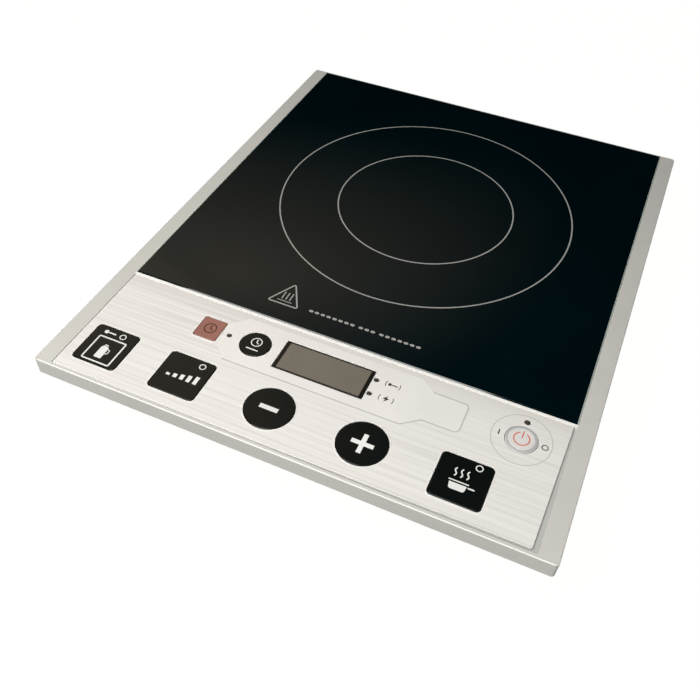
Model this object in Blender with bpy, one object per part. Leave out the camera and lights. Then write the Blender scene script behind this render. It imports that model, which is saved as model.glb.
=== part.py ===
"""Single-zone glass-top cooker: a flat housing with a control panel at the front.

Metres, +Z up. The origin is the middle of the footprint, at the underside of the feet. The front, with the
keys, is towards -Y. Every piece is its own object. Pieces that touch keep FIT between them.
"""

import math

import bmesh
import bpy
from mathutils import Matrix, Vector

# ---- driving dimensions -------------------------------------------------------------------------

WIDTH = 0.300  # over the top frame
DEPTH = 0.366
HEIGHT = 0.062  # feet to cooking surface

FIT = 0.0003  # gap between pieces that touch or slide
WALL = 0.002  # moulded wall of the top frame
CIRCLE = 20  # sides of a turned piece
CORNER = 4  # steps in a quarter-round corner
TOP_STEPS = 3  # steps in the rounded top edge

# Top frame
LIP_HEIGHT = 0.011
RAIL_WIDTH = 0.0100  # flat border at each side of the glass
BACK_EDGE = 0.0011  # the frame's thin edge behind the glass
OUTER_CORNER = 0.002
INNER_CORNER = 0.0005  # inside the lip
TOP_ROUND = 0.0007  # rounded outer top edge
PANEL_DEPTH = 0.0850  # from the front face to the cross rib
RIB_WIDTH = 0.0013  # bright rib between glass and control panel
FRONT_MARGIN = 0.0020  # frame in front of the control panel
PANEL_RECESS = 0.0014
LEDGE_WIDTH = 0.009
LEDGE_THICKNESS = 0.002

# Glass
GLASS_THICKNESS = 0.004
GLASS_PROUD = 0.0005  # above the top frame
GLASS_CORNER = 0.0012
GLASS_ARRIS = 0.0006  # ground edge
SEAL_THICKNESS = 0.0008
ZONE_OFFSET = 0.0028  # heating zone's centre behind the middle of the glass
SEAL_INSET = 0.0015

# Control overlay and what shows in it
OVERLAY_THICKNESS = 0.0008
OVERLAY_GROOVE = 0.0009  # open groove along its right end, at the back
OVERLAY_PULL = (0.0018, 0.0016)  # how far its front right corner is pulled in, which widens the groove
ROW_SKEW = 0.0009  # how much further back the right end of each row of keys stands
OVERLAY_CORNER = 0.0012
OVERLAY_LEFT = 0.0107  # from the frame's side to the overlay's left end
KEY_PROUD = 0.0003
KEY_FLANGE = 0.0010  # width and thickness of the flange that keeps a key in
KEY_CORNER = 0.0025
TIMER_KEY_CORNER = 0.0014
KEY_BEVEL = 0.00025
KEY_SQUARE = 0.028
KEY_ROUND = 0.028
POWER_KEY_WIDTH = 0.029
TIMER_KEY_SIZE = (0.0147, 0.0160)
CANCEL_KEY_DIAMETER = 0.0185
ON_OFF_KEY_DIAMETER = 0.0175
STEM_DIAMETER = 0.003
DISPLAY_SIZE = (0.055, 0.0215)
DISPLAY_BORDER = 0.0022  # black edge of the window around the module
LED_DIAMETER = 0.0026
STANDBY_LED_DIAMETER = 0.0030

# Where they are: distances from the overlay's ends, from its front edge and from each other
LOWER_ROW = 0.0225  # key centres behind the overlay's front edge
UPPER_ROW = 0.0602
FIRST_KEY = 0.0206  # first lower key from the overlay's left end
LAST_KEY = 0.0449  # last lower key from its right end
LOWER_ROW_PLACES = (0.0, 0.236, 0.491, 0.746, 1.0)  # shares of the way from the first to the last key
ON_OFF_FROM_RIGHT = 0.0242
DISPLAY_TO_CANCEL = 0.0066
CANCEL_TO_LED = 0.0066
LED_TO_TIMER = 0.0040
DISPLAY_TO_LEDS = 0.0012
UNIT_LED_SPACING = 0.0105
STANDBY_LED_RISE = 0.0123  # behind the on/off key's centre

# Control board behind the panel
CELL_CORNER = 0.0005  # corner of a tact switch
SWITCH_SIZE = 0.006
SWITCH_HEIGHT = 0.0035
SWITCH_BLIND = 0.0016  # depth of the recess that the key's stem enters
STEM_REACH = 0.0008  # how far the stem stands in that recess at rest
STEM_LENGTH = 0.0023
BOARD_THICKNESS = 0.0016
BOARD_SIDE = 0.024  # control board inside the frame's side
BOARD_FRONT = 0.0175
BOARD_BACK = 0.004  # in front of the cross rib
BOARD_POST = 0.006
BUZZER_DIAMETER = 0.012
BUZZER_HEIGHT = 0.008
BUZZER_EDGE = 0.0007

# Bottom tub and feet
FOOT_HEIGHT = 0.008
FOOT_DIAMETER = 0.020
FOOT_EDGE = 0.0010  # rounding of the pad's tread
FOOT_NECK = 0.006
FOOT_BEAD = 0.0014  # how far the bead reaches past the neck
FOOT_BEAD_RISE = 0.0026
FOOT_INSET = 0.016  # foot centre inside the tub's bottom edge
TUB_WALL = 0.0022
TUB_TOP_INSET = 0.014  # tub wall inside the frame, at the rim
TUB_TAPER = 0.012  # further inset of its bottom
TUB_CORNER = 0.012
TUB_EDGE = 0.002  # bevel round its underside
RIM_THICKNESS = 0.002
VENT_WIDTH = 0.0034
VENT_PITCH = 0.0080
REAR_VENTS = 14
REAR_VENT_HEIGHT = 0.018
SIDE_VENTS = 10
INTAKE_VENTS = 9
THROUGH = 0.04  # reach of a cutter that goes right through a wall of the tub

# Screws
SCREW_DIAMETER = 0.0025
SCREW_HEAD = 0.0055
SCREW_HEAD_HEIGHT = 0.0016
CASE_BOSS = 0.0065
CASE_SCREW_INSET = 0.0060  # from the frame's side
CASE_SCREW_END = 0.060  # from the frame's front and back

# Coil stack under the glass
COIL_SHARE = 0.3216  # the coil's radius, as a share of the glass pocket's depth
COIL_EYE = 0.022
COIL_THICKNESS = 0.0054
COIL_RIDGES = 5
COIL_RIDGE = 0.0012  # height of a turn's ridge
COIL_AIR = 0.0007  # air over the mica sheet
MICA_THICKNESS = 0.0004
FORMER_MARGIN = 0.006
FORMER_THICKNESS = 0.0034
FORMER_WINDOWS = 6
FERRITE_SHARE = 0.81  # a bar's length, as a share of the winding's breadth
FERRITE_SIZE = (0.012, 0.004)  # width, thickness
FERRITE_COUNT = 6
FORMER_POST = 0.008
FORMER_HUB = 0.004  # from the coil's eye to the windows
FORMER_RING = 0.012  # from the windows to the coil's edge
SENSOR_DIAMETER = 0.012
SENSOR_TAIL = 0.006

# Fan
FAN_SIZE = 0.090
FAN_DEPTH = 0.020
FAN_WALL = 0.0018
FAN_CORNER = 0.004
FAN_ARM = 0.005  # width of the arms that carry the stator
FAN_SHAFT = 0.003
FAN_PEG = 0.0028
FAN_PAD = 0.0064
FAN_BLADES = 7
FAN_BLADE = 0.0012  # a blade's thickness
FAN_STATIONS = ((0.0, 50, 0.65), (0.5, 40, 0.9), (1.0, 32, 1.0))  # (way out, degrees, chord over depth)
FAN_HUB = 0.031
FAN_TIP_CLEARANCE = 0.0030
FAN_MARGIN = 0.006  # to the tub's walls and to the power board
FAN_LIFT = 0.0035  # over the tub floor, clear of the feet's beads

# Power board
POWER_BOARD_LIFT = 0.006
POWER_BOARD_MARGIN = 0.006
POWER_POST = 0.007
POWER_POST_INSET = 0.006
HEATSINK_SIZE = (0.052, 0.060)
HEATSINK_HEADROOM = 0.010  # below the control board
HEATSINK_FINS = 7
HEATSINK_BASE = 0.005
CHIP_DEPTH = 0.006
PART_SPACING = 0.004  # between parts on the power board
CHOKE_DIAMETER = 0.030
CHOKE_HEIGHT = 0.013
CAPACITOR_HEIGHT = 0.018
RIBBON_WIDTH = 0.016
RIBBON_THICKNESS = 0.001
RIBBON_BOW = 0.008  # slack

# Cord gland in the rear wall
GLAND_BORE = 0.008
GLAND_BODY = 0.0125
GLAND_FLANGE = 0.018
GLAND_BOSS = 0.022
GLAND_FROM_CORNER = 0.024
GLAND_RISE = 0.018  # axis over the tub's underside

# ---- levels and edges that follow ----------------------------------------------------------------

SIDE = WIDTH / 2
FRONT = -DEPTH / 2
BACK = DEPTH / 2
FRAME_TOP = HEIGHT - GLASS_PROUD
FRAME_BOTTOM = FRAME_TOP - LIP_HEIGHT

RIB_FRONT = FRONT + PANEL_DEPTH - RIB_WIDTH
POCKET = (-SIDE + RAIL_WIDTH, SIDE - RAIL_WIDTH, FRONT + PANEL_DEPTH, BACK - BACK_EDGE)
GLASS_BOTTOM = HEIGHT - GLASS_THICKNESS
SEAL_TOP = GLASS_BOTTOM - FIT
LEDGE_TOP = SEAL_TOP - SEAL_THICKNESS - FIT
LEDGE_BOTTOM = LEDGE_TOP - LEDGE_THICKNESS
ZONE_CENTRE = Vector((0, (POCKET[2] + POCKET[3]) / 2 + ZONE_OFFSET, 0))

DECK_TOP = FRAME_TOP - PANEL_RECESS
DECK_BOTTOM = DECK_TOP - WALL
OVERLAY_BOTTOM = DECK_TOP + FIT
OVERLAY_TOP = OVERLAY_BOTTOM + OVERLAY_THICKNESS
RECESS = (-SIDE + OVERLAY_LEFT - FIT, SIDE - OVERLAY_LEFT + FIT, FRONT + FRONT_MARGIN, RIB_FRONT)
OVERLAY = (-SIDE + OVERLAY_LEFT, RECESS[1] - OVERLAY_GROOVE, RECESS[2] + FIT, RECESS[3] - FIT)

KEY_TOP = OVERLAY_TOP + KEY_PROUD
FLANGE_TOP = DECK_BOTTOM - FIT
FLANGE_BOTTOM = FLANGE_TOP - KEY_FLANGE
STEM_END = FLANGE_BOTTOM - STEM_LENGTH
SWITCH_TOP = STEM_END + STEM_REACH
SWITCH_BOTTOM = SWITCH_TOP - SWITCH_HEIGHT
BOARD_TOP = SWITCH_BOTTOM - FIT
BOARD_BOTTOM = BOARD_TOP - BOARD_THICKNESS

LOWER_Y = OVERLAY[2] + LOWER_ROW
UPPER_Y = OVERLAY[2] + UPPER_ROW
LOWER_SPAN = (OVERLAY[0] + FIRST_KEY, OVERLAY[1] - LAST_KEY)
LOWER_X = [LOWER_SPAN[0] + share * (LOWER_SPAN[1] - LOWER_SPAN[0]) for share in LOWER_ROW_PLACES]
CANCEL_X = -DISPLAY_SIZE[0] / 2 - DISPLAY_TO_CANCEL - CANCEL_KEY_DIAMETER / 2
TIMER_LED_X = CANCEL_X - CANCEL_KEY_DIAMETER / 2 - CANCEL_TO_LED - LED_DIAMETER / 2
TIMER_X = TIMER_LED_X - LED_DIAMETER / 2 - LED_TO_TIMER - TIMER_KEY_SIZE[0] / 2
UNIT_LED_X = DISPLAY_SIZE[0] / 2 + DISPLAY_TO_LEDS + LED_DIAMETER / 2
ON_OFF_X = OVERLAY[1] - ON_OFF_FROM_RIGHT

TUB_BOTTOM = FOOT_HEIGHT
FLOOR = TUB_BOTTOM + TUB_WALL
RIM_BOTTOM = FRAME_BOTTOM + FIT
RIM_TOP = RIM_BOTTOM + RIM_THICKNESS
TUB_SIDE = SIDE - TUB_TOP_INSET
TUB_END = BACK - TUB_TOP_INSET
FLOOR_SIDE = TUB_SIDE - TUB_TAPER - TUB_WALL
FLOOR_END = TUB_END - TUB_TAPER - TUB_WALL

MICA_TOP = GLASS_BOTTOM - COIL_AIR
COIL_TOP = MICA_TOP - MICA_THICKNESS - FIT
COIL_BOTTOM = COIL_TOP - COIL_THICKNESS
FORMER_TOP = COIL_BOTTOM - FIT
FORMER_BOTTOM = FORMER_TOP - FORMER_THICKNESS
COIL_RADIUS = COIL_SHARE * (POCKET[3] - POCKET[2])
FORMER_RADIUS = COIL_RADIUS + FORMER_MARGIN
POST_RING = FORMER_RADIUS - FORMER_POST

FAN_BOTTOM = FLOOR + FAN_LIFT
FAN_CENTRE = Vector((FLOOR_SIDE - FAN_MARGIN - FAN_SIZE / 2, -FLOOR_END + FAN_MARGIN + FAN_SIZE / 2, 0))
FAN_BORE = FAN_SIZE / 2 - FAN_WALL

POWER_BOARD = (
    -FLOOR_SIDE + POWER_BOARD_MARGIN,
    FAN_CENTRE.x - FAN_SIZE / 2 - POWER_BOARD_MARGIN,
    -FLOOR_END + POWER_BOARD_MARGIN,
    ZONE_CENTRE.y - POST_RING * math.sin(math.radians(30)) - FORMER_POST,
)
POWER_BOARD_BOTTOM = FLOOR + POWER_BOARD_LIFT
POWER_BOARD_TOP = POWER_BOARD_BOTTOM + BOARD_THICKNESS
PARTS_ON_BOARD = POWER_BOARD_TOP + FIT

# ---- materials ------------------------------------------------------------------------------------


def finish(name, colour, roughness, metallic=0.0):
    """One Principled material."""
    made = bpy.data.materials.new(name)
    made.use_nodes = True
    shader = made.node_tree.nodes["Principled BSDF"]
    shader.inputs["Base Color"].default_value = (*colour, 1.0)
    shader.inputs["Roughness"].default_value = roughness
    shader.inputs["Metallic"].default_value = metallic
    made.diffuse_color = (*colour, 1.0)
    return made


# ---- outlines and meshes ----------------------------------------------------------------------------


def clear_scene():
    for obj in list(bpy.data.objects):
        bpy.data.objects.remove(obj, do_unlink=True)


def rounded_rectangle(left, right, low, high, radius, steps=CORNER):
    """Outline points, anticlockwise from the lower right corner."""
    radius = min(radius, (right - left) / 2, (high - low) / 2)
    corners = (
        (right - radius, low + radius, -90),
        (right - radius, high - radius, 0),
        (left + radius, high - radius, 90),
        (left + radius, low + radius, 180),
    )
    points = []
    for x, y, start in corners:
        for step in range(steps + 1):
            angle = math.radians(start + 90 * step / steps)
            points.append((x + radius * math.cos(angle), y + radius * math.sin(angle)))
    return points


def rectangle(left, right, low, high):
    return [(right, low), (right, high), (left, high), (left, low)]


def circle(radius, centre=(0, 0), sides=CIRCLE):
    """Outline points, anticlockwise from straight down."""
    turns = (math.tau * (side / sides - 0.25) for side in range(sides))
    return [(centre[0] + radius * math.cos(turn), centre[1] + radius * math.sin(turn)) for turn in turns]


def box_around(centre, size_x, size_y):
    return (centre[0] - size_x / 2, centre[0] + size_x / 2, centre[1] - size_y / 2, centre[1] + size_y / 2)


def grown(edges, margin):
    """The same box of edges, larger all round by margin."""
    return (edges[0] - margin, edges[1] + margin, edges[2] - margin, edges[3] + margin)


def add_loft(mesh, levels, closed=False):
    """Skins outlines of equal length, one above another. Open ends are capped."""
    rings = [[mesh.verts.new((x, y, z)) for x, y in outline] for outline, z in levels]
    pairs = list(zip(rings, rings[1:]))
    if closed:
        pairs.append((rings[-1], rings[0]))
    else:
        mesh.faces.new(rings[0])
        mesh.faces.new(rings[-1])
    for below, above in pairs:
        for near in range(len(below)):
            far = (near + 1) % len(below)
            mesh.faces.new((below[near], below[far], above[far], above[near]))


def made(name, mesh, surface, smooth=30.0):
    """Turns a bmesh into an object with its faces pointing out."""
    bmesh.ops.recalc_face_normals(mesh, faces=mesh.faces)
    data = bpy.data.meshes.new(name)
    mesh.to_mesh(data)
    mesh.free()
    data.shade_smooth()
    data.set_sharp_from_angle(angle=math.radians(smooth))
    if surface:
        data.materials.append(surface)
    obj = bpy.data.objects.new(name, data)
    bpy.context.scene.collection.objects.link(obj)
    return obj


def loft(name, levels, surface=None, closed=False):
    mesh = bmesh.new()
    add_loft(mesh, levels, closed)
    return made(name, mesh, surface)


def prisms(name, outlines, low, high, surface=None):
    """One or more upright prisms in one mesh."""
    mesh = bmesh.new()
    for outline in outlines:
        add_loft(mesh, [(outline, low), (outline, high)])
    return made(name, mesh, surface)


def turned(name, profile, surface=None, closed=False, sides=CIRCLE):
    """Turns (radius, height) points about the object's own Z axis."""
    return loft(name, [(circle(radius, sides=sides), z) for radius, z in profile], surface, closed)


def as_helper(obj):
    obj.hide_render = True
    obj.display_type = "WIRE"
    obj.hide_set(True)
    return obj


def combine(obj, helper, operation):
    step = obj.modifiers.new(helper.name, "BOOLEAN")
    step.operation = operation
    step.object = as_helper(helper)


def cut(obj, helper):
    combine(obj, helper, "DIFFERENCE")


def join(obj, helper):
    combine(obj, helper, "UNION")


# ---- what the panel holds -----------------------------------------------------------------------------


def key_outline(key, margin=0.0):
    """A key's outline in plan, grown by margin."""
    if key["round"]:
        return circle(key["size"][0] / 2 + margin, key["centre"], sides=4 * (CORNER + 1))
    edges = grown(box_around(key["centre"], *key["size"]), margin)
    corner = TIMER_KEY_CORNER if key["name"] == "timer" else KEY_CORNER
    return rounded_rectangle(*edges, corner + margin)


def askew(x, y):
    """A place in a row, which stands further back towards the overlay's right end."""
    return x, y + ROW_SKEW * (x - OVERLAY[0]) / (OVERLAY[1] - OVERLAY[0])


def key_table():
    def key(name, x, y, size, is_round=False):
        return {"name": name, "centre": askew(x, y), "size": size, "round": is_round}

    square = (KEY_SQUARE, KEY_SQUARE)
    return [
        key("temp", LOWER_X[0], LOWER_Y, square),
        key("power", LOWER_X[1], LOWER_Y, (POWER_KEY_WIDTH, KEY_SQUARE)),
        key("minus", LOWER_X[2], LOWER_Y, (KEY_ROUND, KEY_ROUND), True),
        key("plus", LOWER_X[3], LOWER_Y, (KEY_ROUND, KEY_ROUND), True),
        key("keep_warm", LOWER_X[4], LOWER_Y, square),
        key("timer", TIMER_X, UPPER_Y, TIMER_KEY_SIZE),
        key("timer_cancel", CANCEL_X, UPPER_Y, (CANCEL_KEY_DIAMETER,) * 2, True),
        key("on_off", ON_OFF_X, UPPER_Y, (ON_OFF_KEY_DIAMETER,) * 2, True),
    ]


def led_table():
    return [
        ("timer_led", askew(TIMER_LED_X, UPPER_Y), LED_DIAMETER),
        ("fahrenheit_led", askew(UNIT_LED_X, UPPER_Y + UNIT_LED_SPACING / 2), LED_DIAMETER),
        ("watt_led", askew(UNIT_LED_X, UPPER_Y - UNIT_LED_SPACING / 2), LED_DIAMETER),
        ("standby_led", askew(ON_OFF_X, UPPER_Y + STANDBY_LED_RISE), STANDBY_LED_DIAMETER),
    ]


KEYS = key_table()
LEDS = led_table()
DISPLAY_EDGES = box_around(askew(0, UPPER_Y), *DISPLAY_SIZE)
MODULE_EDGES = grown(DISPLAY_EDGES, -DISPLAY_BORDER)
CONTROL_BOARD = (-SIDE + BOARD_SIDE, SIDE - BOARD_SIDE, FRONT + BOARD_FRONT, RIB_FRONT - BOARD_BACK)


def overlay_outline():
    """The overlay in plan, its front right corner pulled in."""
    left, right, front, back = OVERLAY
    outline = []
    for x, y in rounded_rectangle(*OVERLAY, OVERLAY_CORNER):
        share = (x - left) / (right - left) * (back - y) / (back - front)
        outline.append((x - OVERLAY_PULL[0] * share, y + OVERLAY_PULL[1] * share))
    return outline


def panel_openings(low, high, with_module):
    """Cutter for every hole that keys, lights and the display need in the overlay or in the deck."""
    outlines = [key_outline(key, FIT) for key in KEYS]
    outlines += [circle(diameter / 2 + FIT, centre, sides=12) for _, centre, diameter in LEDS]
    outlines.append(rectangle(*grown(MODULE_EDGES if with_module else DISPLAY_EDGES, FIT)))
    return prisms(f"panel_openings_{'deck' if with_module else 'overlay'}", outlines, low, high)


def board_posts():
    """Centres of the posts under the deck that carry the control board: two with a screw, two plain."""
    left, right, front, back = grown(CONTROL_BOARD, -BOARD_POST / 2 - FIT)
    gap_left = (LOWER_X[0] + LOWER_X[1]) / 2
    gap_right = (LOWER_X[3] + LOWER_X[4]) / 2
    return [(left, back), (right, front), (gap_left, front), (gap_right, back)]


def case_screw_places():
    x = SIDE - CASE_SCREW_INSET
    y = BACK - CASE_SCREW_END
    return [(-x, -y), (x, -y), (x, y), (-x, y)]


# ---- upper half -----------------------------------------------------------------------------------------


def build_top_frame(surface):
    outer = (-SIDE, SIDE, FRONT, BACK)
    inner = grown(outer, -WALL)
    levels = [
        (rounded_rectangle(*inner, INNER_CORNER), LEDGE_BOTTOM),
        (rounded_rectangle(*inner, INNER_CORNER), FRAME_BOTTOM),
        (rounded_rectangle(*outer, OUTER_CORNER), FRAME_BOTTOM),
    ]
    for step in range(TOP_STEPS + 1):
        angle = math.radians(90 * step / TOP_STEPS)
        shrink = TOP_ROUND * (1 - math.cos(angle))
        edges = grown(outer, -shrink)
        rise = TOP_ROUND * math.sin(angle)
        levels.append((rounded_rectangle(*edges, OUTER_CORNER - shrink), FRAME_TOP - TOP_ROUND + rise))
    frame = loft("top_frame", levels, surface)

    over = FRAME_TOP + WALL
    under = LEDGE_BOTTOM - WALL
    cut(frame, prisms("glass_pocket", [rounded_rectangle(*POCKET, GLASS_CORNER)], LEDGE_TOP, over))
    aperture = grown(POCKET, -LEDGE_WIDTH)
    cut(frame, prisms("glass_aperture", [rectangle(*aperture)], under, over))
    cut(frame, prisms("overlay_recess", [rounded_rectangle(*RECESS, OVERLAY_CORNER)], DECK_TOP, over))
    under_deck = (inner[0], inner[1], inner[2], RIB_FRONT - WALL / 2)
    cut(frame, prisms("under_deck", [rounded_rectangle(*under_deck, INNER_CORNER)], under, DECK_BOTTOM))
    near, far = SIDE - RAIL_WIDTH + WALL, SIDE - WALL
    channels = [rectangle(*ends, POCKET[2], POCKET[3] - WALL) for ends in ((-far, -near), (near, far))]
    cut(frame, prisms("rail_channels", channels, under, FRAME_TOP - WALL))
    cut(frame, panel_openings(DECK_BOTTOM - WALL, over, with_module=True))

    posts = [circle(BOARD_POST / 2, centre, sides=16) for centre in board_posts()]
    join(frame, prisms("board_posts", posts, BOARD_TOP + FIT, DECK_BOTTOM + WALL / 2))
    bosses = [circle(CASE_BOSS / 2, centre, sides=16) for centre in case_screw_places()]
    join(frame, prisms("case_bosses", bosses, RIM_TOP + FIT, FRAME_TOP - WALL / 2))
    tapped = [circle(SCREW_DIAMETER / 2 + FIT, centre, sides=12) for centre in board_posts()[:2]]
    cut(frame, prisms("board_screw_holes", tapped, BOARD_BOTTOM, DECK_BOTTOM - FIT))
    tapped = [circle(SCREW_DIAMETER / 2 + FIT, centre, sides=12) for centre in case_screw_places()]
    cut(frame, prisms("case_screw_holes", tapped, RIM_BOTTOM, LEDGE_TOP))
    return frame


def build_glass(surface, rubber):
    edges = grown(POCKET, -FIT)
    outline = rounded_rectangle(*edges, GLASS_CORNER - FIT)
    arris = rounded_rectangle(*grown(edges, -GLASS_ARRIS), GLASS_CORNER - FIT - GLASS_ARRIS)
    loft("glass_plate", [(outline, GLASS_BOTTOM), (outline, HEIGHT - GLASS_ARRIS), (arris, HEIGHT)], surface)

    outer = rounded_rectangle(*grown(POCKET, -SEAL_INSET), GLASS_CORNER)
    inner = rounded_rectangle(*grown(POCKET, SEAL_INSET - LEDGE_WIDTH), GLASS_CORNER)
    low = LEDGE_TOP + FIT
    levels = [(outer, low), (outer, SEAL_TOP), (inner, SEAL_TOP), (inner, low)]
    loft("glass_seal", levels, rubber, closed=True)


def build_overlay(film, window, module):
    plate = prisms("control_overlay", [overlay_outline()], OVERLAY_BOTTOM, OVERLAY_TOP, film)
    cut(plate, panel_openings(OVERLAY_BOTTOM - WALL, OVERLAY_TOP + WALL, with_module=False))

    pane = rounded_rectangle(*DISPLAY_EDGES, KEY_BEVEL)
    prisms("display_window", [pane], OVERLAY_BOTTOM, OVERLAY_TOP, window)
    prisms("display_module", [rectangle(*MODULE_EDGES)], BOARD_TOP + FIT, OVERLAY_BOTTOM - FIT, module)


def build_key(key, surface):
    """A cap through the overlay and the deck, a flange under the deck, and a stem to the switch."""
    outline = key_outline(key)
    flange = key_outline(key, KEY_FLANGE)
    stem = circle(STEM_DIAMETER / 2, key["centre"], sides=len(outline))
    levels = [
        (stem, STEM_END),
        (stem, FLANGE_BOTTOM),
        (flange, FLANGE_BOTTOM),
        (flange, FLANGE_TOP),
        (outline, FLANGE_TOP),
        (outline, KEY_TOP - KEY_BEVEL),
        (key_outline(key, -KEY_BEVEL), KEY_TOP),
    ]
    loft(f"{key['name']}_key", levels, surface)


def build_switch(key, surface):
    """A tact switch with a recess for the key's stem."""
    edges = box_around(key["centre"], SWITCH_SIZE, SWITCH_SIZE)
    body = rounded_rectangle(*edges, CELL_CORNER, steps=2)
    recess = circle(STEM_DIAMETER / 2 + FIT, key["centre"], sides=len(body))
    levels = [
        (body, SWITCH_BOTTOM),
        (body, SWITCH_TOP),
        (recess, SWITCH_TOP),
        (recess, SWITCH_TOP - SWITCH_BLIND),
    ]
    loft(f"{key['name']}_switch", levels, surface)


def build_leds(lens):
    for name, centre, diameter in LEDS:
        stages = ((1.0, BOARD_TOP + FIT), (1.0, OVERLAY_TOP - KEY_BEVEL), (0.7, OVERLAY_TOP))
        loft(name, [(circle(share * diameter / 2, centre, sides=12), z) for share, z in stages], lens)


def build_control_board(board, black, steel):
    plate = prisms("control_board", [rounded_rectangle(*CONTROL_BOARD, WALL)], BOARD_BOTTOM, BOARD_TOP, board)
    places = board_posts()[:2]
    holes = [circle(SCREW_DIAMETER / 2 + FIT, centre, sides=12) for centre in places]
    cut(plate, prisms("board_holes", holes, BOARD_BOTTOM - WALL, BOARD_TOP + WALL))
    for number, centre in enumerate(places, 1):
        build_screw(f"board_screw_{number}", centre, BOARD_BOTTOM - FIT, DECK_BOTTOM - 2 * FIT, steel)

    centre = ((LOWER_X[3] + LOWER_X[4]) / 2, (LOWER_Y + UPPER_Y) / 2)
    top = BOARD_BOTTOM - FIT
    radius = BUZZER_DIAMETER / 2
    low = top - BUZZER_HEIGHT
    stages = ((radius - BUZZER_EDGE, low), (radius, low + BUZZER_EDGE), (radius, top))
    loft("buzzer", [(circle(reach, centre), z) for reach, z in stages], black)


def build_screw(name, centre, seat, tip, surface):
    """A pan-head screw pointing up, its head under seat and a cross recess in the head."""
    shank = SCREW_DIAMETER / 2
    head = SCREW_HEAD / 2
    screw = turned(
        name,
        [
            (0.55 * head, seat - SCREW_HEAD_HEIGHT),
            (0.9 * head, seat - 0.75 * SCREW_HEAD_HEIGHT),
            (head, seat - 0.4 * SCREW_HEAD_HEIGHT),
            (head, seat),
            (shank, seat),
            (shank, tip - shank),
            (0.3 * shank, tip),
        ],
        surface,
        sides=12,
    )
    screw.location = (*centre, 0)
    arm = 0.45 * head
    blade = 0.12 * head
    cross = [
        (blade, -arm), (blade, -blade), (arm, -blade), (arm, blade), (blade, blade), (blade, arm),
        (-blade, arm), (-blade, blade), (-arm, blade), (-arm, -blade), (-blade, -blade), (-blade, -arm),
    ]
    recess = prisms(f"{name}_recess", [cross], seat - 2 * SCREW_HEAD_HEIGHT, seat - 0.4 * SCREW_HEAD_HEIGHT)
    recess.location = screw.location
    cut(screw, recess)


# ---- lower half -------------------------------------------------------------------------------------------


def former_post_places():
    spots = []
    for degrees in (90, 210, 330):
        angle = math.radians(degrees)
        offset = Vector((math.cos(angle), math.sin(angle), 0)) * POST_RING
        spots.append(tuple((ZONE_CENTRE + offset).xy))
    return spots


def power_board_posts():
    left, right, front, back = grown(POWER_BOARD, -POWER_POST_INSET)
    front += FOOT_INSET  # clear of the foot below
    return [(left, front), (right, front), (right, back), (left, back)]


def fan_pegs():
    reach = FAN_SIZE / 2 - 2.2 * FAN_WALL
    return [(FAN_CENTRE.x + x * reach, FAN_CENTRE.y + y * reach) for x, y in ((-1, -1), (1, 1))]


def gland_axis():
    return (FLOOR_SIDE + TUB_WALL - GLAND_FROM_CORNER, TUB_BOTTOM + GLAND_RISE)


def boss_face():
    """The flat outer face of the gland's boss, just clear of the sloping wall at the boss's top."""
    slope = TUB_TAPER / (RIM_BOTTOM - TUB_BOTTOM)
    return TUB_END - TUB_TAPER + slope * (GLAND_RISE + GLAND_BOSS / 2) + FIT


def along_y(obj, x, y, z):
    """Lays a piece turned about Z along Y, its own +Z towards the back."""
    obj.rotation_euler = (math.radians(-90), 0, 0)
    obj.location = (x, y, z)
    return obj


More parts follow.
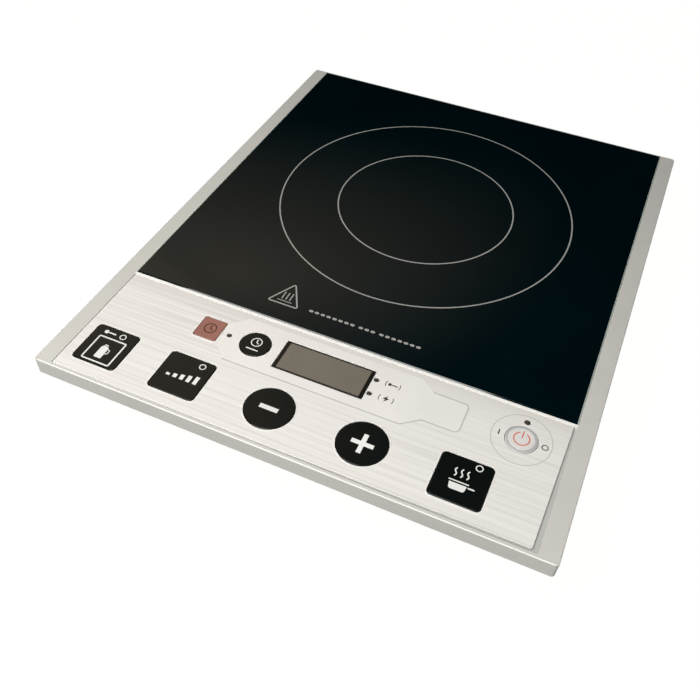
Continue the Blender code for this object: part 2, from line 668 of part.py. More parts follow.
def build_tub(surface):
    def outline(side, end, radius):
        return rounded_rectangle(-side, side, -end, end, radius)

    bottom_side = TUB_SIDE - TUB_TAPER
    bottom_end = TUB_END - TUB_TAPER
    rim_side = SIDE - WALL - FIT
    rim_end = BACK - WALL - FIT
    tub = loft(
        "bottom_tub",
        [
            (outline(bottom_side - TUB_EDGE, bottom_end - TUB_EDGE, TUB_CORNER - TUB_EDGE), TUB_BOTTOM),
            (outline(bottom_side, bottom_end, TUB_CORNER), TUB_BOTTOM + TUB_EDGE),
            (outline(TUB_SIDE, TUB_END, TUB_CORNER), RIM_BOTTOM),
            (outline(rim_side, rim_end, OUTER_CORNER), RIM_BOTTOM),
            (outline(rim_side, rim_end, OUTER_CORNER), RIM_TOP),
            (outline(TUB_SIDE - TUB_WALL, TUB_END - TUB_WALL, TUB_CORNER - TUB_WALL), RIM_TOP),
            (outline(FLOOR_SIDE, FLOOR_END, TUB_CORNER - TUB_WALL), FLOOR),
        ],
        surface,
    )

    root = FLOOR - TUB_WALL / 2
    posts = [circle(FORMER_POST / 2, centre, sides=16) for centre in former_post_places()]
    join(tub, prisms("former_posts", posts, root, FORMER_BOTTOM - FIT))
    posts = [circle(POWER_POST / 2, centre, sides=12) for centre in power_board_posts()]
    join(tub, prisms("power_board_posts", posts, root, POWER_BOARD_BOTTOM - FIT))
    pads = [circle(FAN_PAD / 2, centre, sides=12) for centre in fan_pegs()]
    join(tub, prisms("fan_pads", pads, root, FAN_BOTTOM - FIT))
    pegs = [circle(FAN_PEG / 2, centre, sides=12) for centre in fan_pegs()]
    join(tub, prisms("fan_pegs", pegs, root, FAN_BOTTOM + FAN_DEPTH / 2))

    x, z = gland_axis()
    boss = turned("gland_boss", [(GLAND_BOSS / 2, 0), (GLAND_BOSS / 2, boss_face() - FLOOR_END - TUB_WALL)])
    join(tub, along_y(boss, x, FLOOR_END + TUB_WALL, z))
    bore = turned("gland_hole", [(GLAND_BODY / 2 + FIT, -THROUGH / 2), (GLAND_BODY / 2 + FIT, THROUGH / 2)])
    cut(tub, along_y(bore, x, boss_face(), z))

    cut(tub, floor_openings())
    places = [VENT_PITCH * (number - (REAR_VENTS - 1) / 2) for number in range(REAR_VENTS)]
    slots = [rectangle(*box_around((x, TUB_END), VENT_WIDTH, 2 * THROUGH)) for x in places]
    low = (TUB_BOTTOM + RIM_BOTTOM) / 2 - REAR_VENT_HEIGHT / 2
    cut(tub, prisms("rear_vents", slots, low, low + REAR_VENT_HEIGHT))
    places = [VENT_PITCH * (number - (SIDE_VENTS - 1) / 2) for number in range(SIDE_VENTS)]
    slots = [rectangle(*box_around((-TUB_SIDE, y), 2 * THROUGH, VENT_WIDTH)) for y in places]
    cut(tub, prisms("side_vents", slots, low, low + REAR_VENT_HEIGHT))
    holes = [circle(SCREW_DIAMETER / 2 + FIT, centre, sides=12) for centre in case_screw_places()]
    cut(tub, prisms("rim_holes", holes, RIM_BOTTOM - WALL, RIM_TOP + WALL))


def floor_openings():
    """Cutter for the fan's intake slots and the holes that the feet push into."""
    outlines = [circle(FOOT_NECK / 2 + FIT, centre, sides=16) for centre in foot_places()]
    reach = FAN_BORE - VENT_WIDTH
    for number in range(INTAKE_VENTS):
        offset = VENT_PITCH * (number - (INTAKE_VENTS - 1) / 2)
        half = math.sqrt(reach**2 - offset**2)
        centre = (FAN_CENTRE.x + offset, FAN_CENTRE.y)
        outlines.append(rectangle(*box_around(centre, VENT_WIDTH, 2 * half)))
    return prisms("floor_openings", outlines, TUB_BOTTOM - WALL, FLOOR + FIT)


def foot_places():
    x = FLOOR_SIDE + TUB_WALL - FOOT_INSET
    y = FLOOR_END + TUB_WALL - FOOT_INSET
    return [(-x, -y), (x, -y), (x, y), (-x, y)]


def build_feet(rubber):
    """Push-in feet: a pad, a neck through the floor, and a bead that holds it."""
    names = ("foot_front_left", "foot_front_right", "foot_rear_right", "foot_rear_left")
    pad = FOOT_DIAMETER / 2
    neck = FOOT_NECK / 2
    profile = [
        (pad - 2 * FOOT_EDGE, 0.0),
        (pad - FOOT_EDGE / 2, FOOT_EDGE),
        (pad, TUB_BOTTOM - FIT),
        (neck, TUB_BOTTOM - FIT),
        (neck, FLOOR + FIT),
        (neck + FOOT_BEAD, FLOOR + FIT),
        (neck - FOOT_EDGE, FLOOR + FOOT_BEAD_RISE),
    ]
    for name, centre in zip(names, foot_places()):
        foot = turned(name, profile, rubber)
        foot.location = (*centre, 0)


def build_coil(copper, former_surface, ferrite, mica, sensor_surface):
    centre = tuple(ZONE_CENTRE.xy)
    sheet = [(circle(FORMER_RADIUS, sides=36), z) for z in (MICA_TOP - MICA_THICKNESS, MICA_TOP)]
    loft("mica_sheet", sheet, mica).location = ZONE_CENTRE

    pitch = (COIL_RADIUS - COIL_EYE) / COIL_RIDGES
    profile = [(COIL_EYE, COIL_BOTTOM), (COIL_RADIUS, COIL_BOTTOM)]
    for number in reversed(range(COIL_RIDGES)):
        inner = COIL_EYE + number * pitch
        profile += [(inner + pitch, COIL_TOP - COIL_RIDGE), (inner + pitch / 2, COIL_TOP)]
    profile.append((COIL_EYE, COIL_TOP - COIL_RIDGE))
    turned("induction_coil", profile, copper, closed=True, sides=32).location = ZONE_CENTRE

    former = turned(
        "coil_former",
        [
            (SENSOR_DIAMETER / 2 + FIT, FORMER_BOTTOM),
            (FORMER_RADIUS, FORMER_BOTTOM),
            (FORMER_RADIUS, FORMER_TOP),
            (SENSOR_DIAMETER / 2 + FIT, FORMER_TOP),
        ],
        former_surface,
        closed=True,
        sides=36,
    )
    former.location = ZONE_CENTRE
    cut(former, former_windows(centre))

    length = FERRITE_SHARE * (COIL_RADIUS - COIL_EYE)
    width, thickness = FERRITE_SIZE
    top = FORMER_BOTTOM - FIT
    for number in range(FERRITE_COUNT):
        bar = prisms(
            f"ferrite_bar_{number + 1}",
            [rectangle(COIL_EYE, COIL_EYE + length, -width / 2, width / 2)],
            top - thickness,
            top,
            ferrite,
        )
        bar.location = ZONE_CENTRE
        bar.rotation_euler.z = math.tau * number / FERRITE_COUNT

    radius = SENSOR_DIAMETER / 2
    profile = [
        (radius * 0.7, FORMER_BOTTOM - SENSOR_TAIL),
        (radius * 0.7, FORMER_BOTTOM),
        (radius, FORMER_BOTTOM + FIT),
        (radius, COIL_TOP - COIL_RIDGE),
        (radius * 0.6, COIL_TOP),
    ]
    turned("temperature_sensor", profile, sensor_surface, sides=12).location = ZONE_CENTRE


def former_windows(centre):
    """Cutter for the wedge-shaped windows between the former's spokes."""
    near = COIL_EYE + FORMER_HUB
    far = COIL_RADIUS - FORMER_RING
    outlines = []
    for number in range(FORMER_WINDOWS):
        middle = math.tau * (number + 0.5) / FORMER_WINDOWS
        wedge = []
        for radius, turns in ((near, (-0.16, 0.16)), (far, (0.33, 0.11, -0.11, -0.33))):
            for turn in turns:
                angle = middle + turn
                wedge.append((centre[0] + radius * math.cos(angle), centre[1] + radius * math.sin(angle)))
        outlines.append(wedge)
    return prisms("former_windows", outlines, FORMER_BOTTOM - WALL, FORMER_TOP + WALL)


def build_fan(housing_surface, rotor_surface):
    half = FAN_SIZE / 2
    top = FAN_BOTTOM + FAN_DEPTH
    square = rounded_rectangle(-half, half, -half, half, FAN_CORNER)
    shell = prisms("fan_frame", [square], FAN_BOTTOM, top, housing_surface)
    cut(shell, prisms("fan_bore", [circle(FAN_BORE, sides=36)], FAN_BOTTOM - WALL, top + WALL))
    strut = FAN_ARM / 2
    reach = FAN_BORE + FAN_WALL / 2
    stator_top = FAN_BOTTOM + FAN_DEPTH * 0.65
    for number, (long, short) in enumerate(((reach, strut), (strut, reach))):
        arm = [rectangle(-long, long, -short, short)]
        join(shell, prisms(f"fan_arm_{number + 1}", arm, FAN_BOTTOM, FAN_BOTTOM + strut))
    shaft = FAN_SHAFT / 2
    stator = FAN_HUB / 2 - 2 * FAN_WALL
    join(
        shell,
        turned(
            "fan_stator",
            [
                (stator, FAN_BOTTOM),
                (stator, stator_top),
                (shaft + FIT, stator_top),
                (shaft + FIT, FAN_BOTTOM + shaft),
            ],
        ),
    )
    pegs = [Vector((x, y, 0)) - FAN_CENTRE for x, y in fan_pegs()]
    holes = [circle(FAN_PEG / 2 + FIT, (peg.x, peg.y), sides=12) for peg in pegs]
    cut(shell, prisms("fan_peg_holes", holes, FAN_BOTTOM - WALL, top + WALL))

    hub = FAN_HUB / 2
    edge = FAN_WALL / 2
    cup_top = top - edge
    skirt = FAN_BOTTOM + strut + edge
    rotor = turned(
        "fan_rotor",
        [
            (hub - edge, cup_top),
            (hub, cup_top - edge),
            (hub, skirt),
            (hub - FAN_WALL, skirt),
            (hub - FAN_WALL, cup_top - FAN_WALL),
            (shaft, cup_top - FAN_WALL),
            (shaft, FAN_BOTTOM + FAN_SHAFT),
        ],
        rotor_surface,
        sides=21,
    )
    join(rotor, fan_blades(hub, skirt, cup_top))

    helpers = [step.object for obj in (shell, rotor) for step in obj.modifiers]
    for obj in (shell, rotor, *helpers):
        obj.location = FAN_CENTRE


def fan_blades(hub, low, high):
    """Twisted blades rooted in the hub, flatter towards the tip."""
    mesh = bmesh.new()
    root = hub - FAN_WALL / 2
    tip = FAN_BORE - FAN_TIP_CLEARANCE
    middle = (low + high) / 2
    stations = [
        (root + share * (tip - root), pitch, chord * FAN_DEPTH) for share, pitch, chord in FAN_STATIONS
    ]
    for number in range(FAN_BLADES):
        turn = Matrix.Rotation(math.tau * number / FAN_BLADES, 4, "Z")
        rings = []
        for radius, pitch, chord in stations:
            tilt = Matrix.Rotation(math.radians(-pitch), 4, "X")
            long, short = chord / 2, FAN_BLADE / 2
            corners = ((-long, -short), (long, -short), (long, short), (-long, short))
            ring = []
            for along, across in corners:
                section = tilt @ Vector((0, along, across))
                section.x = math.sqrt(max(radius**2 - section.y**2, 0))
                section.z += middle
                ring.append(mesh.verts.new(turn @ section))
            rings.append(ring)
        mesh.faces.new(rings[0])
        mesh.faces.new(rings[-1])
        for below, above in zip(rings, rings[1:]):
            for near in range(4):
                far = (near + 1) % 4
                mesh.faces.new((below[near], below[far], above[far], above[near]))
    return made("fan_blades", mesh, None)


def build_power_board(board, metal, black, yellow, copper, grey):
    left, right, front, back = POWER_BOARD
    prisms("power_board", [rounded_rectangle(*POWER_BOARD, WALL)], POWER_BOARD_BOTTOM, POWER_BOARD_TOP, board)

    base = PARTS_ON_BOARD
    top = BOARD_BOTTOM - HEATSINK_HEADROOM
    size_x, size_y = HEATSINK_SIZE
    near = front + 3 * PART_SPACING
    sink = (right - PART_SPACING - size_x, right - PART_SPACING, near, near + size_y)
    heatsink = prisms("heatsink", [rectangle(*sink)], base, top, metal)
    pitch = size_y / (HEATSINK_FINS - 0.5)
    gaps = []
    for number in range(HEATSINK_FINS - 1):
        low = sink[2] + pitch * (number + 0.5)
        gaps.append(rectangle(sink[0] - WALL, sink[1] + WALL, low, low + pitch / 2))
    cut(heatsink, prisms("heatsink_gaps", gaps, base + HEATSINK_BASE, top + WALL))

    chips = (("power_transistor", 0.016, 0.90, 0.15), ("bridge_rectifier", 0.020, 0.96, 0.55))
    for name, length, rise, share in chips:
        low = sink[2] + share * size_y
        edges = (sink[0] - CHIP_DEPTH - FIT, sink[0] - FIT, low, low + length)
        prisms(name, [rounded_rectangle(*edges, KEY_BEVEL, steps=1)], base, base + rise * (top - base), black)

    row = back - 5 * PART_SPACING
    place = left + PART_SPACING
    for name, length, depth in (("resonant_capacitor", 0.026, 0.016), ("filter_capacitor", 0.024, 0.014)):
        edges = box_around((place + length / 2, row), length, depth)
        outline = rounded_rectangle(*edges, WALL / 2, steps=2)
        prisms(name, [outline], base, base + CAPACITOR_HEIGHT, yellow)
        place += length + PART_SPACING

    ring = CHOKE_DIAMETER / 2
    core = 0.4 * ring
    choke = turned(
        "filter_choke",
        [
            (core, base),
            (ring - WALL, base),
            (ring, base + WALL),
            (ring, base + CHOKE_HEIGHT - WALL),
            (ring - WALL, base + CHOKE_HEIGHT),
            (core, base + CHOKE_HEIGHT),
        ],
        copper,
        closed=True,
    )
    choke.location = (left + PART_SPACING + ring, sink[2] + ring, 0)

    ribbon(left + 3 * PART_SPACING, sink[3] + PART_SPACING, grey)


def ribbon(x, y, surface):
    """Flat lead from the power board up to the control board, with a slack bend."""
    low = PARTS_ON_BOARD
    high = BOARD_BOTTOM - FIT
    half = RIBBON_THICKNESS / 2
    steps = 8
    mesh = bmesh.new()
    levels = []
    for step in range(steps + 1):
        share = step / steps
        middle = y - RIBBON_BOW * math.sin(math.pi * share) ** 2
        outline = rectangle(x, x + RIBBON_WIDTH, middle - half, middle + half)
        levels.append((outline, low + share * (high - low)))
    add_loft(mesh, levels)
    made("ribbon_cable", mesh, surface)


def build_gland(surface):
    """Cable gland: a flange on the boss, a body through the wall, and a clear bore for a lead."""
    x, z = gland_axis()
    bore = GLAND_BORE / 2
    body = GLAND_BODY / 2
    flange = GLAND_FLANGE / 2
    profile = [
        (bore, -0.016),
        (body - 0.001, -0.016),
        (body, -0.014),
        (body, FIT),
        (flange, FIT),
        (flange, 0.0020),
        (flange - 0.0012, 0.0030),
        (bore + 0.0015, 0.0075),
        (bore, 0.0075),
    ]
    gland = turned("cord_gland", profile, surface, closed=True, sides=16)
    along_y(gland, x, boss_face(), z)


# ---- assembly ---------------------------------------------------------------------------------------------


def main():
    clear_scene()
    silver = finish("silver_frame", (0.66, 0.64, 0.60), 0.38, 0.75)
    glass = finish("black_glass", (0.008, 0.010, 0.011), 0.06)
    film = finish("brushed_film", (0.74, 0.72, 0.69), 0.35, 0.3)
    key_black = finish("key_black", (0.012, 0.012, 0.011), 0.25)
    key_red = finish("key_red", (0.33, 0.14, 0.11), 0.35)
    key_silver = finish("key_silver", (0.70, 0.69, 0.67), 0.35, 0.3)
    tinted = finish("display_tint", (0.10, 0.09, 0.08), 0.12)
    lens = finish("led_lens", (0.12, 0.11, 0.10), 0.2)
    rubber = finish("rubber", (0.02, 0.02, 0.02), 0.85)
    dark = finish("tub_plastic", (0.035, 0.035, 0.036), 0.6)
    black = finish("component_black", (0.02, 0.02, 0.02), 0.45)
    board = finish("circuit_board", (0.05, 0.16, 0.06), 0.5)
    steel = finish("steel", (0.60, 0.60, 0.60), 0.3, 1.0)
    metal = finish("heatsink_metal", (0.72, 0.73, 0.74), 0.4, 1.0)
    copper = finish("copper", (0.62, 0.28, 0.14), 0.4, 0.9)
    mica = finish("mica", (0.55, 0.50, 0.42), 0.5)
    ferrite = finish("ferrite", (0.05, 0.05, 0.055), 0.7)
    cream = finish("former_plastic", (0.72, 0.70, 0.64), 0.6)
    yellow = finish("capacitor", (0.70, 0.50, 0.10), 0.4)
    grey = finish("ribbon_grey", (0.45, 0.45, 0.45), 0.6)

    build_top_frame(silver)
    build_glass(glass, rubber)
    build_overlay(film, tinted, black)
    key_finishes = {"timer": key_red, "on_off": key_silver}
    for key in KEYS:
        build_key(key, key_finishes.get(key["name"], key_black))
        build_switch(key, black)
    build_leds(lens)
    build_control_board(board, black, steel)

    build_tub(dark)
    build_feet(rubber)
    for number, centre in enumerate(case_screw_places(), 1):
        build_screw(f"case_screw_{number}", centre, RIM_BOTTOM - FIT, LEDGE_TOP - FIT, steel)
    build_coil(copper, cream, ferrite, mica, cream)
    build_fan(dark, black)
    build_power_board(board, metal, black, yellow, copper, grey)
    build_gland(dark)


main()
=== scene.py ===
"""Glass-top hot plate: its finishes and printed marks, the stage it stands on and the camera.

Metres, +Z up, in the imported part's own frame. Places and sizes come from the part's nodes. Outlines are lists
of 2-D points, anticlockwise, and every printed mark is a thin raised mesh that rides on the piece it is on.
"""

import math

import bmesh
import bpy
from bpy.props import FloatProperty, FloatVectorProperty, PointerProperty
from mathutils import Euler, Matrix, Vector
from mathutils.geometry import tessellate_polygon


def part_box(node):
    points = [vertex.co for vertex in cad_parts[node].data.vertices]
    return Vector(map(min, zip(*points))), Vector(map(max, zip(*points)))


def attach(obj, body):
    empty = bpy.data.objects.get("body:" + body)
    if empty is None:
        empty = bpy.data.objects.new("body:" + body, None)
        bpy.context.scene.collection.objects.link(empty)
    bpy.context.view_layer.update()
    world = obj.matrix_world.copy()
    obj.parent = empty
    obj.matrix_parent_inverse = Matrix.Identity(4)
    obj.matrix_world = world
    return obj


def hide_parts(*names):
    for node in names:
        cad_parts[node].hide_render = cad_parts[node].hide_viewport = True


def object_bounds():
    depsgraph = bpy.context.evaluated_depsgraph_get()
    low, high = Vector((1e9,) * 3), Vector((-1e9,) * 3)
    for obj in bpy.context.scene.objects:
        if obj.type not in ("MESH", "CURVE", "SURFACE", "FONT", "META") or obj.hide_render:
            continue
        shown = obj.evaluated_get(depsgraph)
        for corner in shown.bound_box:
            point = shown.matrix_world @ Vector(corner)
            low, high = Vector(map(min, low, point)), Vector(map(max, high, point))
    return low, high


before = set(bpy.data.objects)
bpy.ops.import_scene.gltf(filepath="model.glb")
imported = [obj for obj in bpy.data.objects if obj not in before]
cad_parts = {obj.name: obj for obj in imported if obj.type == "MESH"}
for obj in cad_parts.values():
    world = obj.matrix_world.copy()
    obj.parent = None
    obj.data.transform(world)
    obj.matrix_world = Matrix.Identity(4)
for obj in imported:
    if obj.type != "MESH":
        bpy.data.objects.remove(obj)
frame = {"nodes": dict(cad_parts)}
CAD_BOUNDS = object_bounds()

bl_info = {
    "name": "Glass-top hot plate",
    "version": (1, 0, 0),
    "blender": (4, 5, 0),
    "location": "View3D > Sidebar > Hot plate",
    "description": "Builds the looks of a single-zone hot plate around its packed part",
    "category": "Object",
}

MM = 0.001
FIT = 0.3 * MM  # gap round every key, lamp and pane
FLANGE = 1.0 * MM  # how far a key's flange reaches past its cap
FLANGE_DEPTH = 3.7 * MM  # how far the flange's top lies below the frame's
RIM = 0.8 * MM  # width of the embossed rim round a key's opening
DISC_TOP = 0.26  # how far the on/off key's disc stands above its cap, in mm
KEYS = ("temp", "power", "minus", "plus", "keep_warm", "timer", "timer_cancel", "on_off")
ROUND_KEYS = ("minus", "plus", "timer_cancel", "on_off")
LAMPS = ("timer_led", "fahrenheit_led", "watt_led", "standby_led")
STEPS_ROUND = 96  # sides of a round outline


# ---- settings a user would change ---------------------------------------------------------------


def colour(name, value, description):
    return FloatVectorProperty(
        name=name, description=description, default=value, subtype="COLOR", size=3, min=0.0, max=1.0
    )


def length(name, value, description):
    return FloatProperty(name=name, description=description, default=value, unit="LENGTH", subtype="DISTANCE")


def amount(name, value, description, unit="NONE"):
    return FloatProperty(name=name, description=description, default=value, unit=unit)


class HOTPLATE_PG_colours(bpy.types.PropertyGroup):
    """Colours of the finishes, as linear values."""

    frame: colour("Frame", (0.70, 0.688, 0.645), "Satin silver of the top frame")
    # Painted highlight: the bright tone is laid on the frame's edges, on the rib beside the glass and on the
    # strip along the front fold.
    bright: colour("Bright edge", (0.95, 0.94, 0.90), "Burnished edges and the rib beside the glass")
    # Painted shade: the grey sheet laid in the groove round the panel.
    groove: colour("Groove", (0.52, 0.525, 0.505), "Groove round the panel")
    film: colour("Panel", (0.94, 0.92, 0.885), "Brushed control panel")
    streak: colour("Panel streaks", (0.66, 0.64, 0.61), "Darker streaks in the brushed panel")
    smooth: colour("Panel field", (0.945, 0.922, 0.888), "Smooth field round the display")
    # Painted shadow along the smooth field's lower and right edges; the same grey prints the ring round the
    # on/off key.
    shade: colour("Panel shade", (0.55, 0.55, 0.535), "Outline of the smooth field")
    glass: colour("Glass", (0.0003, 0.0048, 0.0066), "Black glass plate")
    # Partly the ground edge's own grey, partly a painted highlight along the glass's side edges and in the gap
    # beside them.
    ground: colour("Ground edge", (0.52, 0.56, 0.51), "Ground edge of the glass plate and the bead beside it")
    key: colour("Keys", (0.0040, 0.0058, 0.0056), "Black keys")
    timer_key: colour("Timer key", (0.34, 0.150, 0.118), "Reddish brown timer key")
    white: colour("White print", (0.86, 0.86, 0.83), "Marks on the keys")
    grey: colour("Grey print", (0.38, 0.38, 0.36), "Marks on the glass")
    dark: colour("Dark print", (0.055, 0.052, 0.048), "Marks on the panel")
    red: colour("Red print", (0.72, 0.10, 0.07), "Mark on the on/off key")
    screen: colour("Screen", (0.189, 0.167, 0.135), "Display when it is off")


class HOTPLATE_PG_sizes(bpy.types.PropertyGroup):
    """Sizes of the marks and of the rounded edges."""

    outer_zone: length("Outer zone", 100.5 * MM, "Radius of the outer heating zone's ring")
    inner_zone: length("Inner zone", 60.5 * MM, "Radius of the inner heating zone's ring")
    zone_line: length("Zone line", 0.9 * MM, "Width of the rings' line")
    print_height: length("Print height", 0.025 * MM, "How far a printed mark stands up")
    key_edge: length("Key edge", 0.45 * MM, "Rounding of a key's top edge")
    glass_edge: length("Glass edge", 0.6 * MM, "Width of the glass's ground edge")
    panel_end: length("Panel end", 0.7 * MM, "How far the panel's whole right end is pulled in")
    groove: length("Groove", 0.9 * MM, "Width of the groove at the panel's right end")
    # Width of the painted shadow beside the panel.
    groove_shadow_line: length("Groove line", 0.8 * MM, "Width of the darker line in the groove, beside the panel")
    fold_radius: length("Front fold", 0.7 * MM, "Radius of the fold along the front lip")
    panel_pull: FloatVectorProperty(
        name="Panel pull", description="How far the panel's front right corner is pulled in", size=2,
        default=(1.8 * MM, 1.6 * MM), unit="LENGTH",
    )
    film_edge: length("Panel edge", 0.2 * MM, "Rounding of the panel's edges")


class HOTPLATE_PG_studio(bpy.types.PropertyGroup):
    """Camera, lights and backdrop."""

    camera_place: FloatVectorProperty(
        name="Camera place", description="Where the camera stands",
        default=(0.12076, -0.37887, 0.39090), subtype="TRANSLATION", unit="LENGTH",
    )
    camera_turn: FloatVectorProperty(
        name="Camera turn", description="Which way the camera faces",
        default=tuple(math.radians(angle) for angle in (42.315, -1.694, 24.010)),
        subtype="EULER", unit="ROTATION",
    )
    lens: amount("Lens", 39.92, "Focal length", "CAMERA")
    key_power: amount("Key light", 6.6, "Power of the key light", "POWER")
    fill_power: amount("Fill light", 0.6, "Power of the fill light", "POWER")
    haze: amount("Haze", 0.55, "Strength of the soft glow that the glass mirrors")
    sky: amount("Sky", 0.16, "Strength of the even light from all sides")
    floor: amount("Floor light", 0.70, "How much light the floor gives back")


# ---- outlines -------------------------------------------------------------------------------------


def on_circle(radius, centre, turns):
    return [
        Vector((centre[0] + radius * math.cos(turn), centre[1] + radius * math.sin(turn)))
        for turn in turns
    ]


def circle(radius, centre=(0.0, 0.0), sides=STEPS_ROUND):
    return on_circle(radius, centre, (math.tau * (side + 0.5) / sides for side in range(sides)))


def rounded(points, radius, steps=8):
    """The outline with every corner turned into an arc. Radius is one number or one for each corner."""
    points = [Vector(point) for point in points]
    radii = radius if isinstance(radius, (list, tuple)) else [radius] * len(points)
    outline = []
    for number, corner in enumerate(points):
        before = (points[number - 1] - corner).normalized()
        after = (points[(number + 1) % len(points)] - corner).normalized()
        half = before.angle(after) / 2
        reach = radii[number] / math.tan(half)
        start, end = corner + before * reach, corner + after * reach
        middle = corner + (before + after).normalized() * (radii[number] / math.sin(half))
        first, sweep = start - middle, (start - middle).angle_signed(end - middle)
        for step in range(steps + 1):
            turn = -sweep * step / steps
            spin = Vector((first.x * math.cos(turn) - first.y * math.sin(turn),
                           first.x * math.sin(turn) + first.y * math.cos(turn)))
            outline.append(middle + spin)
    return outline


def rectangle(left, right, low, high, radius=0.0, steps=8):
    corners = [(left, low), (right, low), (right, high), (left, high)]
    return rounded(corners, radius, steps) if radius else [Vector(corner) for corner in corners]


def grown(outline, margin):
    """The outline moved outwards by margin."""
    result = []
    for number, point in enumerate(outline):
        into = (point - outline[number - 1]).normalized()
        out = (outline[(number + 1) % len(outline)] - point).normalized()
        normals = Vector((into.y + out.y, -into.x - out.x))
        result.append(point + normals * margin / (1 + into.dot(out)))
    return result


def moved(outline, x, y):
    return [point + Vector((x, y)) for point in outline]


def stroke(points, width, ends=5):
    """Outline of a line drawn with a round pen."""
    points = [Vector(point) for point in points]
    half = width / 2
    sides = []
    for path in (points, points[::-1]):
        for number, point in enumerate(path):
            into = (point - path[max(number - 1, 0)]).normalized()
            out = (path[min(number + 1, len(path) - 1)] - point).normalized()
            normals = Vector((into.y + out.y, -into.x - out.x))
            least = 0.5 if 0 < number < len(path) - 1 else 1
            sides.append(point + normals * half / max(1 + into.dot(out), least))
        tip = path[-1]
        along = (tip - path[-2]).normalized()
        across = Vector((along.y, -along.x))
        for step in range(1, ends):
            turn = math.pi * step / ends
            sides.append(tip + (across * math.cos(turn) + along * math.sin(turn)) * half)
    return sides


def arc(radius, start, end, centre=(0.0, 0.0), steps=24):
    """Points along part of a circle, angles in degrees."""
    turns = (math.radians(start + (end - start) * step / steps) for step in range(steps + 1))
    return on_circle(radius, centre, turns)


def wave(x, low, high, swing, steps=14):
    """An upright wavy line."""
    return [
        Vector((x + swing * math.sin(math.tau * step / steps), low + (high - low) * step / steps))
        for step in range(steps + 1)
    ]


# ---- meshes ---------------------------------------------------------------------------------------


def skin(mesh, rings):
    for near, far in zip(rings, rings[1:]):
        for number in range(len(near)):
            after = (number + 1) % len(near)
            mesh.faces.new((near[number], near[after], far[after], far[number]))


def stack(mesh, levels, ends=(True, True)):
    """Skins outlines of equal length one above another, levels being (outline, height)."""
    rings = [[mesh.verts.new((*point, height)) for point in outline] for outline, height in levels]
    skin(mesh, rings)
    for wanted, ring in zip(ends, (rings[0], rings[-1])):
        if wanted:
            mesh.faces.new(ring)


def edge_levels(low, high, edge, steps=4):
    """(height, inset) pairs up a wall and over its rounded top edge."""
    levels = [(low, 0.0), (high - edge, 0.0)]
    for step in range(1, steps + 1 if edge else 1):
        turn = math.pi / 2 * step / steps
        levels.append((high - edge * (1 - math.sin(turn)), edge * (1 - math.cos(turn))))
    return levels


def plate(mesh, outer, holes, low, high, edge=0.0):
    """A flat plate with holes, its top edges rounded."""
    levels = edge_levels(low, high, edge)
    loops = []
    for outline, side in [(outer, -1)] + [(hole, 1) for hole in holes]:
        rings = [
            [mesh.verts.new((*point, height))
             for point in (grown(outline, side * inset) if inset else outline)]
            for height, inset in levels
        ]
        skin(mesh, rings)
        loops.append((rings[0], rings[-1]))
    for end in (0, 1):
        verts = [vert for loop in loops for vert in loop[end]]
        for corners in tessellate_polygon([[vert.co for vert in loop[end]] for loop in loops]):
            mesh.faces.new([verts[corner] for corner in corners])


def turned(mesh, profile, centre, sides=STEPS_ROUND, ends=(True, True)):
    """Turns (radius, height) points about an upright axis."""
    stack(mesh, [(circle(radius, centre, sides), height) for radius, height in profile], ends)


def piece(name, mesh, surface, body="housing", instead_of=(), sharp=32.0):
    """Turns a bmesh into a piece of the object that rides on one of the part's bodies."""
    bmesh.ops.recalc_face_normals(mesh, faces=mesh.faces)
    data = bpy.data.meshes.new(name)
    mesh.to_mesh(data)
    mesh.free()
    data.shade_smooth()
    data.set_sharp_from_angle(angle=math.radians(sharp))
    data.materials.append(surface)
    obj = bpy.data.objects.new(name, data)
    bpy.context.scene.collection.objects.link(obj)
    even = obj.modifiers.new("even_normals", "WEIGHTED_NORMAL")
    even.keep_sharp = True
    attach(obj, body)
    if instead_of:
        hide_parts(*instead_of)
    return obj


def marks(name, shapes, surface, low, height, body="housing"):
    """Printed marks, and the field's painted shadow drawn the same way. A shape is an outline, or a pair of an
    outline and a list of holes.
    """
    mesh = bmesh.new()
    for shape in shapes:
        outer, holes = shape if isinstance(shape, tuple) else (shape, [])
        plate(mesh, outer, holes, low, low + height)
    return piece(name, mesh, surface, body)


def band(outline, width):
    """A closed line of that width along the outline."""
    return grown(outline, width / 2), [grown(outline, -width / 2)]


# ---- places on the part ---------------------------------------------------------------------------


def edges(node, margin=0.0):
    """(left, right, low, high) of a node in plan, grown by margin."""
    low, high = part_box(node)
    return low.x - margin, high.x + margin, low.y - margin, high.y + margin


def middle(node):
    low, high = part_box(node)
    return (low + high) / 2


def top(node):
    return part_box(node)[1].z


def key_cap(name, margin=0.0):
    """A key's cap in plan, grown by margin."""
    left, right, low, high = edges(f"{name}_key", margin - FLANGE)
    corner = 1.4 * MM if name == "timer" else 2.5 * MM
    if name in ROUND_KEYS:
        return circle((right - left) / 2, ((left + right) / 2, (low + high) / 2))
    return rectangle(left, right, low, high, corner + margin)


# ---- shader node groups -----------------------------------------------------------------------------


def start_group(name, inputs, outputs):
    """A new node group with float or vector inputs, given as {name: default}, and float outputs."""
    group = bpy.data.node_groups.new(name, "ShaderNodeTree")
    for label, default in inputs.items():
        kind = "NodeSocketVector" if isinstance(default, tuple) else "NodeSocketFloat"
        group.interface.new_socket(label, in_out="INPUT", socket_type=kind).default_value = default
    for label in outputs:
        group.interface.new_socket(label, in_out="OUTPUT", socket_type="NodeSocketFloat")
    return group, group.nodes.new("NodeGroupInput").outputs, group.nodes.new("NodeGroupOutput").inputs


